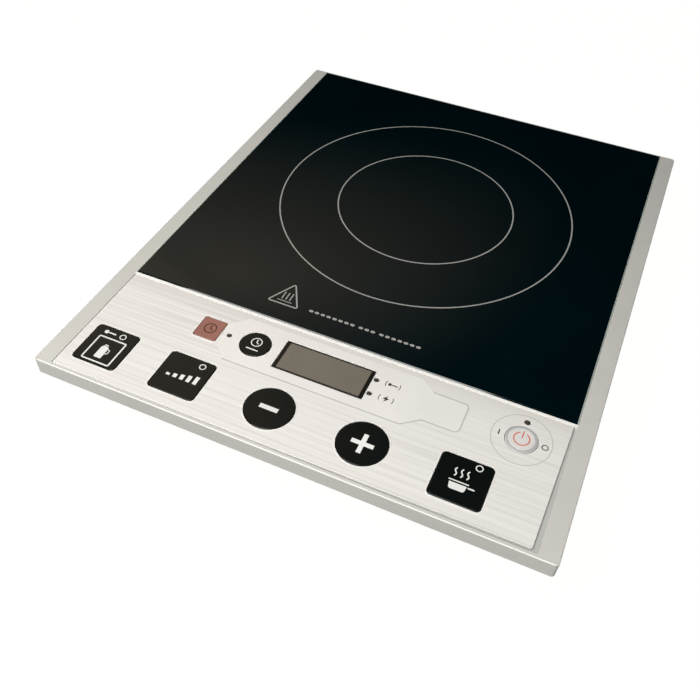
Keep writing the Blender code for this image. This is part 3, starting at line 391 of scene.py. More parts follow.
def add(tree, kind, inputs=None, **settings):
    """A node with its settings and inputs. An input is a value, or an output to link from."""
    node = tree.nodes.new(kind)
    for key, value in settings.items():
        setattr(node, key, value)
    for key, value in (inputs or {}).items():
        if isinstance(value, bpy.types.NodeSocket):
            tree.links.new(value, node.inputs[key])
        else:
            node.inputs[key].default_value = value
    return node


def ramp(tree, value, low, high, to_low=0.0, to_high=1.0):
    """Maps value from one range to another, and stays within it."""
    inputs = {"Value": value, "From Min": low, "From Max": high, "To Min": to_low, "To Max": to_high}
    return add(tree, "ShaderNodeMapRange", inputs).outputs["Result"]


def math_node(tree, operation, first, second):
    return add(tree, "ShaderNodeMath", {0: first, 1: second}, operation=operation).outputs[0]


def stretched_noise(tree, scale, detail=3.0, roughness=0.5):
    """Noise in the part's own coordinates, with its own scale along each axis."""
    place = add(tree, "ShaderNodeTexCoord").outputs["Object"]
    spread = add(tree, "ShaderNodeVectorMath", {0: place, 1: scale}, operation="MULTIPLY").outputs[0]
    inputs = {"Vector": spread, "Scale": 1.0, "Detail": detail, "Roughness": roughness}
    return add(tree, "ShaderNodeTexNoise", inputs).outputs["Fac"]


def grain_group():
    """Fine tooth and slow blotches of a moulded, sprayed or blasted surface."""
    tree, given, result = start_group("surface grain", {"Scale": (1500.0,) * 3, "Blotch": (35.0,) * 3},
                                      ("Tooth", "Blotch"))
    fine = stretched_noise(tree, given["Scale"], 2.0, 0.6)
    slow = stretched_noise(tree, given["Blotch"], 4.0, 0.55)
    tree.links.new(ramp(tree, fine, 0.25, 0.75), result["Tooth"])
    tree.links.new(ramp(tree, slow, 0.3, 0.7), result["Blotch"])
    return tree


def streak_group():
    """Long fine streaks of brushed metal: soft bands, fine lines and single darker strokes."""
    inputs = {"Bands": (2.5, 420.0, 1.0), "Lines": (11.0, 1500.0, 1.0), "Strokes": (7.0, 800.0, 1.0)}
    tree, given, result = start_group("brushed streaks", inputs, ("Bands", "Lines", "Strokes"))
    bands = stretched_noise(tree, given["Bands"], 2.0, 0.5)
    lines = stretched_noise(tree, given["Lines"], 3.0, 0.7)
    strokes = stretched_noise(tree, given["Strokes"], 2.0, 0.6)
    tree.links.new(ramp(tree, bands, 0.36, 0.64), result["Bands"])
    tree.links.new(ramp(tree, lines, 0.3, 0.7), result["Lines"])
    tree.links.new(ramp(tree, strokes, 0.54, 0.66), result["Strokes"])
    return tree


def edge_wear_and_highlight_group():
    """Masks along a piece's edges: the whole edge, which the frame uses for its painted highlight, and only
    where a finish has rubbed thin.
    """
    inputs = {"Width": 0.4 * MM, "Breakup": (260.0,) * 3}
    tree, given, result = start_group("edge wear and highlight", inputs, ("Edge", "Mask"))
    soft = add(tree, "ShaderNodeBevel", {"Radius": given["Width"]}, samples=4).outputs["Normal"]
    hard = add(tree, "ShaderNodeNewGeometry").outputs["Normal"]
    alike = add(tree, "ShaderNodeVectorMath", {0: soft, 1: hard}, operation="DOT_PRODUCT").outputs["Value"]
    edge = ramp(tree, alike, 0.99, 0.80)
    broken = ramp(tree, stretched_noise(tree, given["Breakup"], 3.0, 0.6), 0.35, 0.62)
    tree.links.new(edge, result["Edge"])
    tree.links.new(math_node(tree, "MULTIPLY", edge, broken), result["Mask"])
    return tree


def dust_group():
    """Mask of dust that has settled on what faces up."""
    inputs = {"Scale": (420.0,) * 3, "Amount": 0.3}
    tree, given, result = start_group("settled dust", inputs, ("Mask",))
    normal = add(tree, "ShaderNodeNewGeometry").outputs["Normal"]
    upward = add(tree, "ShaderNodeSeparateXYZ", {0: normal}).outputs["Z"]
    specks = ramp(tree, stretched_noise(tree, given["Scale"], 5.0, 0.75), 0.52, 0.80)
    settled = math_node(tree, "MULTIPLY", ramp(tree, upward, 0.4, 0.95), specks)
    tree.links.new(math_node(tree, "MULTIPLY", settled, given["Amount"]), result["Mask"])
    return tree


GROUP_MAKERS = {"grain": grain_group, "streaks": streak_group, "wear": edge_wear_and_highlight_group, "dust": dust_group}
groups = {}


def effect(tree, kind, inputs=None):
    """Places one of the shared node groups, built the first time it is asked for."""
    if kind not in groups:
        groups[kind] = GROUP_MAKERS[kind]()
    node = tree.nodes.new("ShaderNodeGroup")
    node.node_tree = groups[kind]
    for key, value in (inputs or {}).items():
        node.inputs[key].default_value = value
    return node.outputs


# ---- materials ----------------------------------------------------------------------------------------


def scaled(tone, amount):
    return tuple(min(channel * amount, 1.0) for channel in tone)


def new_material(name, metallic=0.0, **fixed):
    """A material and its shader, with the sockets that are the same all over."""
    material = bpy.data.materials.new(name)
    material.use_nodes = True
    shader = material.node_tree.nodes["Principled BSDF"]
    shader.inputs["Metallic"].default_value = metallic
    for key, value in fixed.items():
        shader.inputs[key.replace("_", " ").title().replace("Ior", "IOR")].default_value = value
    return material, material.node_tree, shader


def mix_colour(tree, factor, first, second):
    node = add(tree, "ShaderNodeMix", data_type="RGBA")
    sockets = [socket for socket in node.inputs if socket.enabled]
    for socket, value in zip(sockets, (factor, first, second)):
        if isinstance(value, bpy.types.NodeSocket):
            tree.links.new(value, socket)
        elif isinstance(value, (int, float)):
            socket.default_value = value
        else:
            socket.default_value = (*value, 1.0)
    return next(socket for socket in node.outputs if socket.enabled)


def bumped(tree, shader, height, distance, strength=1.0):
    bump = add(tree, "ShaderNodeBump", {"Height": height, "Distance": distance, "Strength": strength})
    tree.links.new(bump.outputs["Normal"], shader.inputs["Normal"])


def moulded(name, tone, roughness, metallic=0.0, tooth=(1500.0, 0.02 * MM), uneven=0.08, wear=0.0, dust=0.0,
            **fixed):
    """A moulded, painted or cast finish: fine tooth, slow blotches, rubbed edges and dust."""
    material, tree, shader = new_material(name, metallic, **fixed)
    scale, depth = tooth
    grain = effect(tree, "grain", {"Scale": (scale,) * 3})
    tint = mix_colour(tree, grain["Blotch"], scaled(tone, 1 - uneven), scaled(tone, 1 + uneven))
    tint = mix_colour(tree, ramp(tree, grain["Tooth"], 0.0, 1.0, 0.0, 0.12), tint, scaled(tone, 0.6))
    if wear:
        mask = effect(tree, "wear")["Mask"]
        worn = tuple(channel + (1 - channel) * 0.25 for channel in tone)
        tint = mix_colour(tree, ramp(tree, mask, 0.0, 1.0, 0.0, wear), tint, worn)
    if dust:
        tint = mix_colour(tree, effect(tree, "dust", {"Amount": dust})["Mask"], tint, (0.55, 0.53, 0.50))
    tree.links.new(tint, shader.inputs["Base Color"])
    rough = ramp(tree, grain["Blotch"], 0.0, 1.0, max(roughness - 0.06, 0.02), min(roughness + 0.06, 1.0))
    tree.links.new(rough, shader.inputs["Roughness"])
    bumped(tree, shader, grain["Tooth"], depth)
    return material


def frame_finish(tone, bright):
    """Satin silver: fine flake over a faint brushing, glossier along its edges and lightened there as a painted
    highlight.
    """
    material, tree, shader = new_material("satin_silver", 0.1, coat_roughness=0.2)
    grain = effect(tree, "grain", {"Scale": (2600.0,) * 3, "Blotch": (18.0,) * 3})
    streaks = effect(tree, "streaks", {"Bands": (30.0, 30.0, 420.0), "Lines": (40.0, 60.0, 2600.0)})
    tint = mix_colour(tree, grain["Blotch"], scaled(tone, 0.97), scaled(tone, 1.03))
    tint = mix_colour(tree, ramp(tree, grain["Tooth"], 0.0, 1.0, 0.0, 0.10), tint, scaled(tone, 0.78))
    tint = mix_colour(tree, ramp(tree, streaks["Lines"], 0.0, 1.0, 0.0, 0.12), tint, scaled(tone, 0.75))
    edge = effect(tree, "wear", {"Width": 0.7 * MM})["Edge"]
    # Painted highlight: every edge of the frame is lightened towards the bright tone.
    tint = mix_colour(tree, ramp(tree, edge, 0.0, 1.0, 0.0, 0.85), tint, bright)
    tree.links.new(tint, shader.inputs["Base Color"])
    rough = ramp(tree, grain["Blotch"], 0.0, 1.0, 0.38, 0.44)
    polish = ramp(tree, edge, 0.0, 1.0, 0.0, 0.14)
    tree.links.new(math_node(tree, "SUBTRACT", rough, polish), shader.inputs["Roughness"])
    tree.links.new(ramp(tree, edge, 0.0, 1.0, 0.0, 0.6), shader.inputs["Coat Weight"])
    bumped(tree, shader, grain["Tooth"], 0.010 * MM)
    return material


def film_finish(tone, streak):
    """Printed film that looks like brushed metal under a clear coat."""
    material, tree, shader = new_material("brushed_film", 0.05, coat_roughness=0.12)
    streaks = effect(tree, "streaks")
    fine = effect(tree, "grain", {"Scale": (2200.0,) * 3, "Blotch": (25.0,) * 3})
    tint = mix_colour(tree, ramp(tree, streaks["Bands"], 0.0, 1.0, 0.0, 0.28), tone, streak)
    tint = mix_colour(tree, ramp(tree, streaks["Lines"], 0.0, 1.0, 0.0, 0.26), tint, streak)
    tint = mix_colour(tree, ramp(tree, streaks["Strokes"], 0.0, 1.0, 0.0, 0.48), tint, streak)
    place = add(tree, "ShaderNodeTexCoord").outputs["Object"]
    along = add(tree, "ShaderNodeSeparateXYZ", {0: place}).outputs["Y"]
    back = edges("control_overlay")[3]
    near_glass = ramp(tree, along, back - 12 * MM, back - 2 * MM, 0.0, 0.75)
    tint = mix_colour(tree, near_glass, tint, scaled(streak, 1.14))
    tree.links.new(tint, shader.inputs["Base Color"])
    tree.links.new(ramp(tree, streaks["Lines"], 0.0, 1.0, 0.34, 0.44), shader.inputs["Roughness"])
    tree.links.new(ramp(tree, fine["Blotch"], 0.0, 1.0, 0.18, 0.32), shader.inputs["Coat Weight"])
    height = math_node(tree, "ADD", streaks["Lines"], fine["Tooth"])
    bumped(tree, shader, height, 0.004 * MM)
    return material


def glass_finish(tone):
    """Black glass: a deep gloss with a trace of wiping."""
    material, tree, shader = new_material("black_glass", 0.0, ior=1.5)
    grain = effect(tree, "grain", {"Scale": (900.0,) * 3, "Blotch": (14.0, 9.0, 1.0)})
    tree.links.new(mix_colour(tree, grain["Blotch"], scaled(tone, 0.85), scaled(tone, 1.15)),
                   shader.inputs["Base Color"])
    tree.links.new(ramp(tree, grain["Blotch"], 0.0, 1.0, 0.045, 0.085), shader.inputs["Roughness"])
    bumped(tree, shader, grain["Tooth"], 0.0006 * MM)
    return material


def print_finish(name, tone, roughness=0.45):
    """Screen-printed ink: slightly uneven cover."""
    return moulded(name, tone, roughness, tooth=(5000.0, 0.002 * MM), uneven=0.05)


def lined(name, tone, gap, roughness, metallic, pitch, depth, axis):
    """Parallel lines: extrusion marks, turns of wire or the lanes of a flat lead."""
    material, tree, shader = new_material(name, metallic)
    place = add(tree, "ShaderNodeTexCoord").outputs["Object"]
    scale = math.tau / pitch / 20  # the wave node has 20 radians of phase in a unit
    waves = add(tree, "ShaderNodeTexWave", {"Vector": place, "Scale": scale, "Distortion": 0.4},
                wave_type="BANDS", bands_direction=axis).outputs["Fac"]
    grain = effect(tree, "grain", {"Scale": (1800.0,) * 3})
    tint = mix_colour(tree, waves, gap, tone)
    tint = mix_colour(tree, ramp(tree, grain["Blotch"], 0.0, 1.0, 0.0, 0.15), tint, scaled(tone, 0.6))
    tree.links.new(tint, shader.inputs["Base Color"])
    tree.links.new(ramp(tree, grain["Blotch"], 0.0, 1.0, roughness - 0.05, roughness + 0.05),
                   shader.inputs["Roughness"])
    bumped(tree, shader, waves, depth)
    return material


def board_finish():
    """Green solder mask over copper tracks."""
    material, tree, shader = new_material("circuit_board", 0.0)
    place = add(tree, "ShaderNodeTexCoord").outputs["Object"]
    cells = add(tree, "ShaderNodeTexVoronoi", {"Vector": place, "Scale": 210.0, "Randomness": 0.35},
                feature="DISTANCE_TO_EDGE").outputs["Distance"]
    track = ramp(tree, cells, 0.10, 0.13)
    grain = effect(tree, "grain", {"Scale": (1500.0,) * 3})
    tint = mix_colour(tree, track, (0.020, 0.105, 0.035), (0.012, 0.060, 0.022))
    tint = mix_colour(tree, ramp(tree, grain["Blotch"], 0.0, 1.0, 0.0, 0.2), tint, (0.03, 0.13, 0.05))
    tree.links.new(tint, shader.inputs["Base Color"])
    tree.links.new(ramp(tree, grain["Blotch"], 0.0, 1.0, 0.32, 0.42), shader.inputs["Roughness"])
    bumped(tree, shader, math_node(tree, "SUBTRACT", 1.0, track), 0.03 * MM)
    return material


surfaces = {}


def surface(name):
    """A finish by name, made the first time it is asked for."""
    if name not in surfaces:
        tones = bpy.context.scene.hotplate_colours
        makers = {
            "frame": lambda: frame_finish(tuple(tones.frame), tuple(tones.bright)),
            # The rib's bright tone is a painted highlight.
            "rib": lambda: moulded("rib_painted_highlight", tuple(tones.bright), 0.6, tooth=(4000.0, 0.002 * MM),
                                   uneven=0.02),
            # Painted shade in the groove round the panel, and a darker copy of it as the painted shadow beside
            # the panel's edge.
            "groove": lambda: moulded("groove_shade_grey", tuple(tones.groove), 0.6, uneven=0.05),
            "groove_shadow_dark": lambda: moulded("groove_shadow_dark", scaled(tuple(tones.groove), 0.72), 0.6,
                                           uneven=0.05),
            "film": lambda: film_finish(tuple(tones.film), tuple(tones.streak)),
            "smooth_film": lambda: moulded("smooth_film", tuple(tones.smooth), 0.32, 0.1, uneven=0.03,
                                           coat_weight=0.25, coat_roughness=0.1),
            # One grey for the field's painted shadow and for the printed ring round the on/off key.
            "shade": lambda: print_finish("shadow_and_ring_print", tuple(tones.shade)),
            "glass": lambda: glass_finish(tuple(tones.glass)),
            "ground": lambda: moulded("ground_edge_and_highlight", tuple(tones.ground), 0.5, tooth=(4000.0, 0.004 * MM)),
            "key": lambda: moulded("key_black", tuple(tones.key), 0.18, tooth=(3000.0, 0.001 * MM),
                                   wear=0.08),
            "timer_key": lambda: moulded("key_red", tuple(tones.timer_key), 0.35, tooth=(3000.0, 0.003 * MM),
                                         wear=0.1, coat_weight=0.3, coat_roughness=0.1),
            "key_silver": lambda: moulded("key_silver", (0.80, 0.785, 0.755), 0.32, 0.05, wear=0.1),
            # Darker blue-grey of the on/off key's ring: partly its own tone, partly painted shade of its bevel.
            "key_ring_shade": lambda: moulded("key_ring_shade", (0.52, 0.535, 0.54), 0.35, 0.1),
            "rim": lambda: moulded("embossed_rim", scaled(tuple(tones.smooth), 1.04), 0.25, 0.1, uneven=0.02,
                                   coat_weight=0.4, coat_roughness=0.1),
            "white": lambda: print_finish("white_print", tuple(tones.white)),
            "grey": lambda: print_finish("grey_print", tuple(tones.grey)),
            "dark": lambda: print_finish("dark_print", tuple(tones.dark)),
            "timer_mark": lambda: print_finish("timer_print", (0.075, 0.028, 0.022)),
            "red": lambda: print_finish("red_print", tuple(tones.red)),
            "screen": lambda: moulded("screen", tuple(tones.screen), 0.28, tooth=(2500.0, 0.002 * MM),
                                      uneven=0.04, coat_weight=0.6, coat_roughness=0.05),
            "segments": lambda: print_finish("idle_segments", scaled(tuple(tones.screen), 0.965), 0.4),
            "bezel": lambda: moulded("display_black", (0.012, 0.011, 0.010), 0.12,
                                     tooth=(3000.0, 0.001 * MM)),
            "lamp": lambda: moulded("lamp_lens", (0.050, 0.044, 0.040), 0.2, tooth=(3000.0, 0.002 * MM),
                                    coat_weight=0.3),
            "rubber": lambda: moulded("rubber", (0.018, 0.018, 0.018), 0.82, tooth=(1100.0, 0.05 * MM),
                                      wear=0.2, dust=0.25),
            "tub": lambda: moulded("tub_plastic", (0.030, 0.030, 0.031), 0.58, tooth=(1300.0, 0.06 * MM),
                                   wear=0.3, dust=0.2),
            "nylon": lambda: moulded("gland_nylon", (0.022, 0.022, 0.022), 0.42, wear=0.25, dust=0.1),
            "fan": lambda: moulded("fan_plastic", (0.020, 0.020, 0.021), 0.40, wear=0.15, dust=0.3),
            "component": lambda: moulded("component_black", (0.020, 0.020, 0.020), 0.50,
                                         tooth=(2400.0, 0.03 * MM), wear=0.2, dust=0.1),
            "steel": lambda: moulded("steel", (0.56, 0.56, 0.55), 0.30, 1.0, tooth=(2600.0, 0.01 * MM),
                                     wear=0.2),
            "former": lambda: moulded("former_plastic", (0.66, 0.64, 0.57), 0.55, wear=0.1, dust=0.1),
            "mica": lambda: moulded("mica", (0.50, 0.45, 0.37), 0.42, tooth=(300.0, 0.05 * MM), uneven=0.18),
            "ferrite": lambda: moulded("ferrite", (0.045, 0.045, 0.048), 0.62, 0.1, wear=0.4),
            "capacitor": lambda: moulded("capacitor_film", (0.62, 0.42, 0.07), 0.38, wear=0.1, dust=0.1),
            "board": board_finish,
            "copper": lambda: lined("copper_winding", (0.60, 0.25, 0.11), (0.16, 0.06, 0.03), 0.36, 0.9,
                                    0.8 * MM, 0.08 * MM, "Z"),
            "heatsink": lambda: lined("heatsink_metal", (0.72, 0.73, 0.74), (0.60, 0.61, 0.62), 0.38, 1.0,
                                      0.6 * MM, 0.01 * MM, "Z"),
            "ribbon": lambda: lined("ribbon_grey", (0.42, 0.42, 0.42), (0.22, 0.22, 0.22), 0.55, 0.0,
                                    1.27 * MM, 0.15 * MM, "X"),
        }
        surfaces[name] = makers[name]()
    return surfaces[name]


def dress(node, name):
    """Gives a carried-over node its finish."""
    obj = frame["nodes"][node]
    obj.data.materials.clear()
    obj.data.materials.append(surface(name))
    return obj


def soften(node, width, segments=2):
    """Rounds the sharp edges of a carried-over node."""
    obj = frame["nodes"][node]
    weld = obj.modifiers.new("weld", "WELD")
    weld.merge_threshold = 0.001 * MM
    flat = obj.modifiers.new("flat_faces", "DECIMATE")
    flat.decimate_type = "DISSOLVE"
    flat.angle_limit = math.radians(1)
    bevel = obj.modifiers.new("edges", "BEVEL")
    bevel.width = width
    bevel.segments = segments
    bevel.limit_method = "ANGLE"
    bevel.angle_limit = math.radians(40)
    even = obj.modifiers.new("even_normals", "WEIGHTED_NORMAL")
    even.keep_sharp = True


# ---- operators: one for each piece or group of like pieces ------------------------------------------------


class HOTPLATE_OT_stage(bpy.types.Operator):
    """Sets up the floor, the lights and the camera"""

    bl_idname = "hotplate.stage"
    bl_label = "Stage"

    def execute(self, context):
        studio = context.scene.hotplate_studio
        add_camera(context.scene, studio)
        add_floor(studio.floor)
        add_lights(studio)
        add_sky(context.scene, studio)
        context.scene.view_settings.view_transform = "Standard"
        return {"FINISHED"}


def add_camera(scene, studio):
    data = bpy.data.cameras.new("camera")
    data.lens = studio.lens
    data.sensor_width = 36.0
    data.clip_start = 0.01
    camera = bpy.data.objects.new("camera", data)
    camera.location = studio.camera_place
    camera.rotation_euler = Euler(studio.camera_turn)
    scene.collection.objects.link(camera)
    scene.camera = camera


def add_floor(light):
    """A white floor that gives back less light than it shows."""
    size = 6.0
    below = CAD_BOUNDS[0].z - 0.2 * MM
    data = bpy.data.meshes.new("floor")
    corners = [(-size, -size), (size, -size), (size, size), (-size, size)]
    data.from_pydata([(x, y, below) for x, y in corners], [], [(0, 1, 2, 3)])
    floor = bpy.data.objects.new("floor", data)
    material, tree, shader = new_material("floor_white", base_color=(0.0, 0.0, 0.0, 1.0), roughness=1.0,
                                          emission_color=(1.0, 1.0, 0.99, 1.0))
    seen = add(tree, "ShaderNodeLightPath").outputs["Is Camera Ray"]
    tree.links.new(ramp(tree, seen, 0.0, 1.0, light, 1.0), shader.inputs["Emission Strength"])
    data.materials.append(material)
    bpy.context.scene.collection.objects.link(floor)
    floor.visible_glossy = False


def area_light(name, place, aim, size, power, tint=(1.0, 1.0, 1.0)):
    data = bpy.data.lights.new(name, "AREA")
    data.shape = "RECTANGLE"
    data.size, data.size_y = size
    data.energy = power
    data.color = tint
    light = bpy.data.objects.new(name, data)
    light.location = place
    light.rotation_euler = (Vector(aim) - Vector(place)).to_track_quat("-Z", "Y").to_euler()
    bpy.context.scene.collection.objects.link(light)
    return light


def add_lights(studio):
    centre = (0.0, -0.05, 0.06)
    area_light("key_light", (-0.18, -0.50, 0.73), centre, (0.5, 0.5), studio.key_power, (1.0, 0.985, 0.96))
    area_light("fill_light", (0.60, -0.20, 0.60), centre, (0.5, 0.5), studio.fill_power, (0.95, 0.98, 1.0))


def add_sky(scene, studio):
    """White behind the object, even light on it, and a soft glow in one direction for what mirrors."""
    world = bpy.data.worlds.new("studio")
    world.use_nodes = True
    tree = world.node_tree
    even = tree.nodes["Background"]
    even.inputs["Color"].default_value = (1.0, 0.99, 0.965, 1.0)
    even.inputs["Strength"].default_value = studio.sky
    plain = add(tree, "ShaderNodeBackground", {"Color": (1.0, 1.0, 1.0, 1.0), "Strength": 1.0})

    direction = add(tree, "ShaderNodeTexCoord").outputs["Generated"]
    flat = 1000.0  # half width upwards, so large that only a ray's heading in plan counts
    lobes = [  # middle, turn, half widths, how fast it fades, strength
        ((-0.418, 0.617, 0.0), 115, (0.124, 0.426, flat), 1.34, studio.haze),
        ((-0.45, 0.46, 0.0), 0, (0.30, 0.13, flat), 0.5, 0.9 * studio.haze),
    ]
    total = 0.0
    for centre, turn, widths, fade, strength in lobes:
        oval = add(tree, "ShaderNodeMapping", {
            "Vector": direction, "Location": centre,
            "Rotation": (0.0, 0.0, math.radians(turn)), "Scale": widths,
        }, vector_type="TEXTURE").outputs["Vector"]
        outward = add(tree, "ShaderNodeVectorMath", {0: oval}, operation="LENGTH").outputs["Value"]
        lobe = math_node(tree, "POWER", ramp(tree, outward, 1.0, 0.0), fade)
        total = math_node(tree, "ADD", math_node(tree, "MULTIPLY", lobe, strength), total)
    glow = add(tree, "ShaderNodeBackground", {"Color": (1.0, 0.82, 0.60, 1.0), "Strength": total})
    path = add(tree, "ShaderNodeLightPath").outputs
    shown = even
    for ray, instead in (("Is Glossy Ray", glow), ("Is Camera Ray", plain)):
        shown = add(tree, "ShaderNodeMixShader", {0: path[ray], 1: shown.outputs[0], 2: instead.outputs[0]})
    tree.links.new(shown.outputs[0], tree.nodes["World Output"].inputs["Surface"])
    scene.world = world


class HOTPLATE_OT_top_frame(bpy.types.Operator):
    """Finishes the silver top frame and the seal under the glass"""

    bl_idname = "hotplate.top_frame"
    bl_label = "Top frame"

    def execute(self, context):
        sizes = context.scene.hotplate_sizes
        dress("top_frame", "frame")
        soften("top_frame", 0.25 * MM)
        dress("glass_seal", "rubber")

        left, right, front, back = edges("control_overlay", FIT)
        glass = edges("glass_plate")
        level = top("top_frame")
        mesh = bmesh.new()
        # The rib beside the glass in the bright tone, lighter than the frame it belongs to: a painted highlight
        # along the rib.
        rib = rectangle(glass[0], glass[1], back - 0.28 * MM, glass[2] - 0.04 * MM)
        plate(mesh, rib, [], level - 1.2 * MM, level + 0.1 * MM, 0.3 * MM)
        piece("cross_rib", mesh, surface("rib"))

        # A bright strip laid over the front fold: a painted highlight along the fold.
        frame_left, frame_right, frame_front, _ = edges("top_frame")
        radius, proud = sizes.fold_radius, 0.03 * MM
        centre = Vector((frame_front + radius, level - radius))
        bead = arc(radius + proud, 105, 155, centre, 8) + arc(radius - 4 * proud, 155, 105, centre, 8)
        mesh = bmesh.new()
        skin(mesh, [[mesh.verts.new((x, *point)) for point in bead]
                    for x in (frame_left + 3 * radius, frame_right - 3 * radius)])
        mesh.faces.new(mesh.verts[:len(bead)])
        mesh.faces.new(mesh.verts[len(bead):])
        piece("front_fold_highlight", mesh, surface("rib"))

        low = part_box("control_overlay")[0].z
        panel = panel_outline(sizes)
        # A grey sheet in the groove round the panel, darker than the frame's deck below it: painted shade in
        # the groove.
        recess = grown(rectangle(left, right + sizes.groove, front, back), -0.05 * MM)
        mesh = bmesh.new()
        plate(mesh, recess, [panel], low - 0.9 * FIT, low - 0.2 * FIT)
        piece("groove_painted_shade", mesh, surface("groove"))
        # A darker strip in the groove along the panel's edge: painted shadow of the panel's edge.
        line = [Vector((max(left, min(point.x, right + sizes.groove)), max(front, min(point.y, back))))
                for point in grown(panel, sizes.groove_shadow_line)]
        mesh = bmesh.new()
        plate(mesh, line, [panel], low - 0.5 * FIT, low - 0.1 * FIT)
        piece("groove_shadow_line", mesh, surface("groove_shadow_dark"))
        return {"FINISHED"}


class HOTPLATE_OT_glass(bpy.types.Operator):
    """Builds the glass plate with its polished edge"""

    bl_idname = "hotplate.glass"
    bl_label = "Glass plate"

    def execute(self, context):
        sizes = context.scene.hotplate_sizes
        low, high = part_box("glass_plate")
        outline = rectangle(*edges("glass_plate"), 0.9 * MM)
        level, ground = high.z - sizes.print_height, sizes.glass_edge
        polished = grown(outline, -ground)
        mesh = bmesh.new()
        stack(mesh, [(outline, low.z), (outline, level - ground), (polished, level - 0.1 * ground),
                     (grown(polished, -0.2 * ground), level)])
        glass = piece("glass", mesh, surface("glass"), instead_of=["glass_plate"])
        # The side arris gets the pale ground tone: partly the ground edge's own grey, partly a painted
        # highlight along the glass's sides.
        glass.data.materials.append(surface("ground"))
        for face in glass.data.polygons:
            if 0.3 < face.normal.z < 0.9 and abs(face.normal.x) > abs(face.normal.y):
                face.material_index = 1

        # A pale strip filling the gap beside the glass, in the ground tone: painted light where the gap would
        # show shade, continuing the highlight along the glass's edges.
        mesh = bmesh.new()
        plate(mesh, grown(outline, 0.9 * FIT), [grown(outline, 0.1 * FIT)], low.z + 2 * ground,
              top("top_frame"))
        piece("glass_gap_highlight", mesh, surface("ground"))
        return {"FINISHED"}


class HOTPLATE_OT_zone_marks(bpy.types.Operator):
    """Prints the heating zone's rings, the triangle and the row of dashes on the glass"""

    bl_idname = "hotplate.zone_marks"
    bl_label = "Marks on the glass"

    def execute(self, context):
        sizes = context.scene.hotplate_sizes
        height = sizes.print_height
        low = top("glass_plate") - height
        zone = middle("induction_coil").xy
        radii = (sizes.outer_zone, sizes.inner_zone)
        rings = [band(circle(radius, zone, 180), sizes.zone_line) for radius in radii]
        marks("zone_rings", rings, surface("grey"), low, height)

        front = edges("glass_plate")[2]
        marks("hot_mark", hot_mark(-44.5 * MM, front + 13.3 * MM), surface("grey"), low, height)
        marks("dash_row", dash_row(-27.5 * MM, front + 15.2 * MM), surface("grey"), low, height)
        return {"FINISHED"}


def hot_mark(x, low):
    """A plain triangle with three upright bars over a line."""
    corners = [(x - 9.9 * MM, low), (x + 9.9 * MM, low), (x, low + 18.6 * MM)]
    shapes = [band(rounded(corners, 0.8 * MM), 0.9 * MM)]
    for offset in (-2.6, 0.0, 2.6):
        line = [(x + offset * MM, low + 4.4 * MM), (x + offset * MM, low + 10.2 * MM)]
        shapes.append(stroke(line, 0.75 * MM))
    shapes.append(stroke([(x - 4.6 * MM, low + 2.7 * MM), (x + 4.6 * MM, low + 2.7 * MM)], 0.55 * MM))
    return shapes


def dash_row(left, y):
    """Three groups of short dashes."""
    shapes = []
    place = left
    for count in (8, 3, 7):
        for _ in range(count):
            shapes.append(stroke([(place + 0.9 * MM, y), (place + 2.0 * MM, y)], 1.8 * MM))
            place += 3.85 * MM
        place += 1.6 * MM
    return shapes


class HOTPLATE_OT_panel(bpy.types.Operator):
    """Builds the brushed control panel with its openings and the smooth field round the display"""

    bl_idname = "hotplate.panel"
    bl_label = "Control panel"

    def execute(self, context):
        sizes = context.scene.hotplate_sizes
        low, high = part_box("control_overlay")
        holes = [key_cap(name, FIT) for name in KEYS] + [lamp_hole(name) for name in LAMPS]
        holes.append(rectangle(*edges("display_window", FIT), 0.5 * MM))
        mesh = bmesh.new()
        plate(mesh, panel_outline(sizes), holes, low.z, high.z, sizes.film_edge)
        piece("panel_film", mesh, surface("film"), instead_of=["control_overlay"])
        mesh = bmesh.new()
        for name in KEYS[:-1]:
            plate(mesh, key_cap(name, FIT + RIM), [key_cap(name, FIT)], high.z, high.z + 0.12 * MM,
                  0.1 * MM)
        piece("key_rims", mesh, surface("rim"))

        field = panel_field()
        inside = [key_cap("timer_cancel", FIT + RIM)]
        inside += [grown(lamp_hole(name), sizes.film_edge) for name in LAMPS[:-1]]
        inside.append(rectangle(*edges("display_window", FIT + sizes.film_edge), 0.5 * MM))
        mesh = bmesh.new()
        plate(mesh, field, inside, high.z, high.z + 1.6 * sizes.print_height, 1.2 * sizes.print_height)
        piece("panel_field", mesh, surface("smooth_film"))
        # A grey line along the field's lower and right edges: painted shadow of the raised field.
        shading = stroke(lower_right(field), 0.8 * MM)
        marks("field_painted_shadow", [shading], surface("shade"), high.z, sizes.print_height)
        return {"FINISHED"}


def panel_outline(sizes):
    """The panel in plan, its right end and most of all its front right corner pulled in."""
    left, right, front, back = edges("control_overlay")
    outline = []
    for point in rectangle(left, right, front, back, 1.2 * MM):
        across = (point.x - left) / (right - left)
        share = across * (back - point.y) / (back - front)
        outline.append(point + Vector((-sizes.panel_end * across - sizes.panel_pull[0] * share,
                                       sizes.panel_pull[1] * share)))
    return outline


def lower_right(field):
    """The shaded part of the field's outline: from its front left corner round to its back right."""
    start = min(range(len(field)), key=lambda number: field[number].x + 2 * field[number].y)
    outline = grown(field[start:] + field[:start], 0.4 * MM)
    return outline[: round(0.55 * len(outline))]


def lamp_hole(name):
    left, right, _, _ = edges(name)
    return circle((right - left) / 2 + FIT, middle(name).xy, 32)


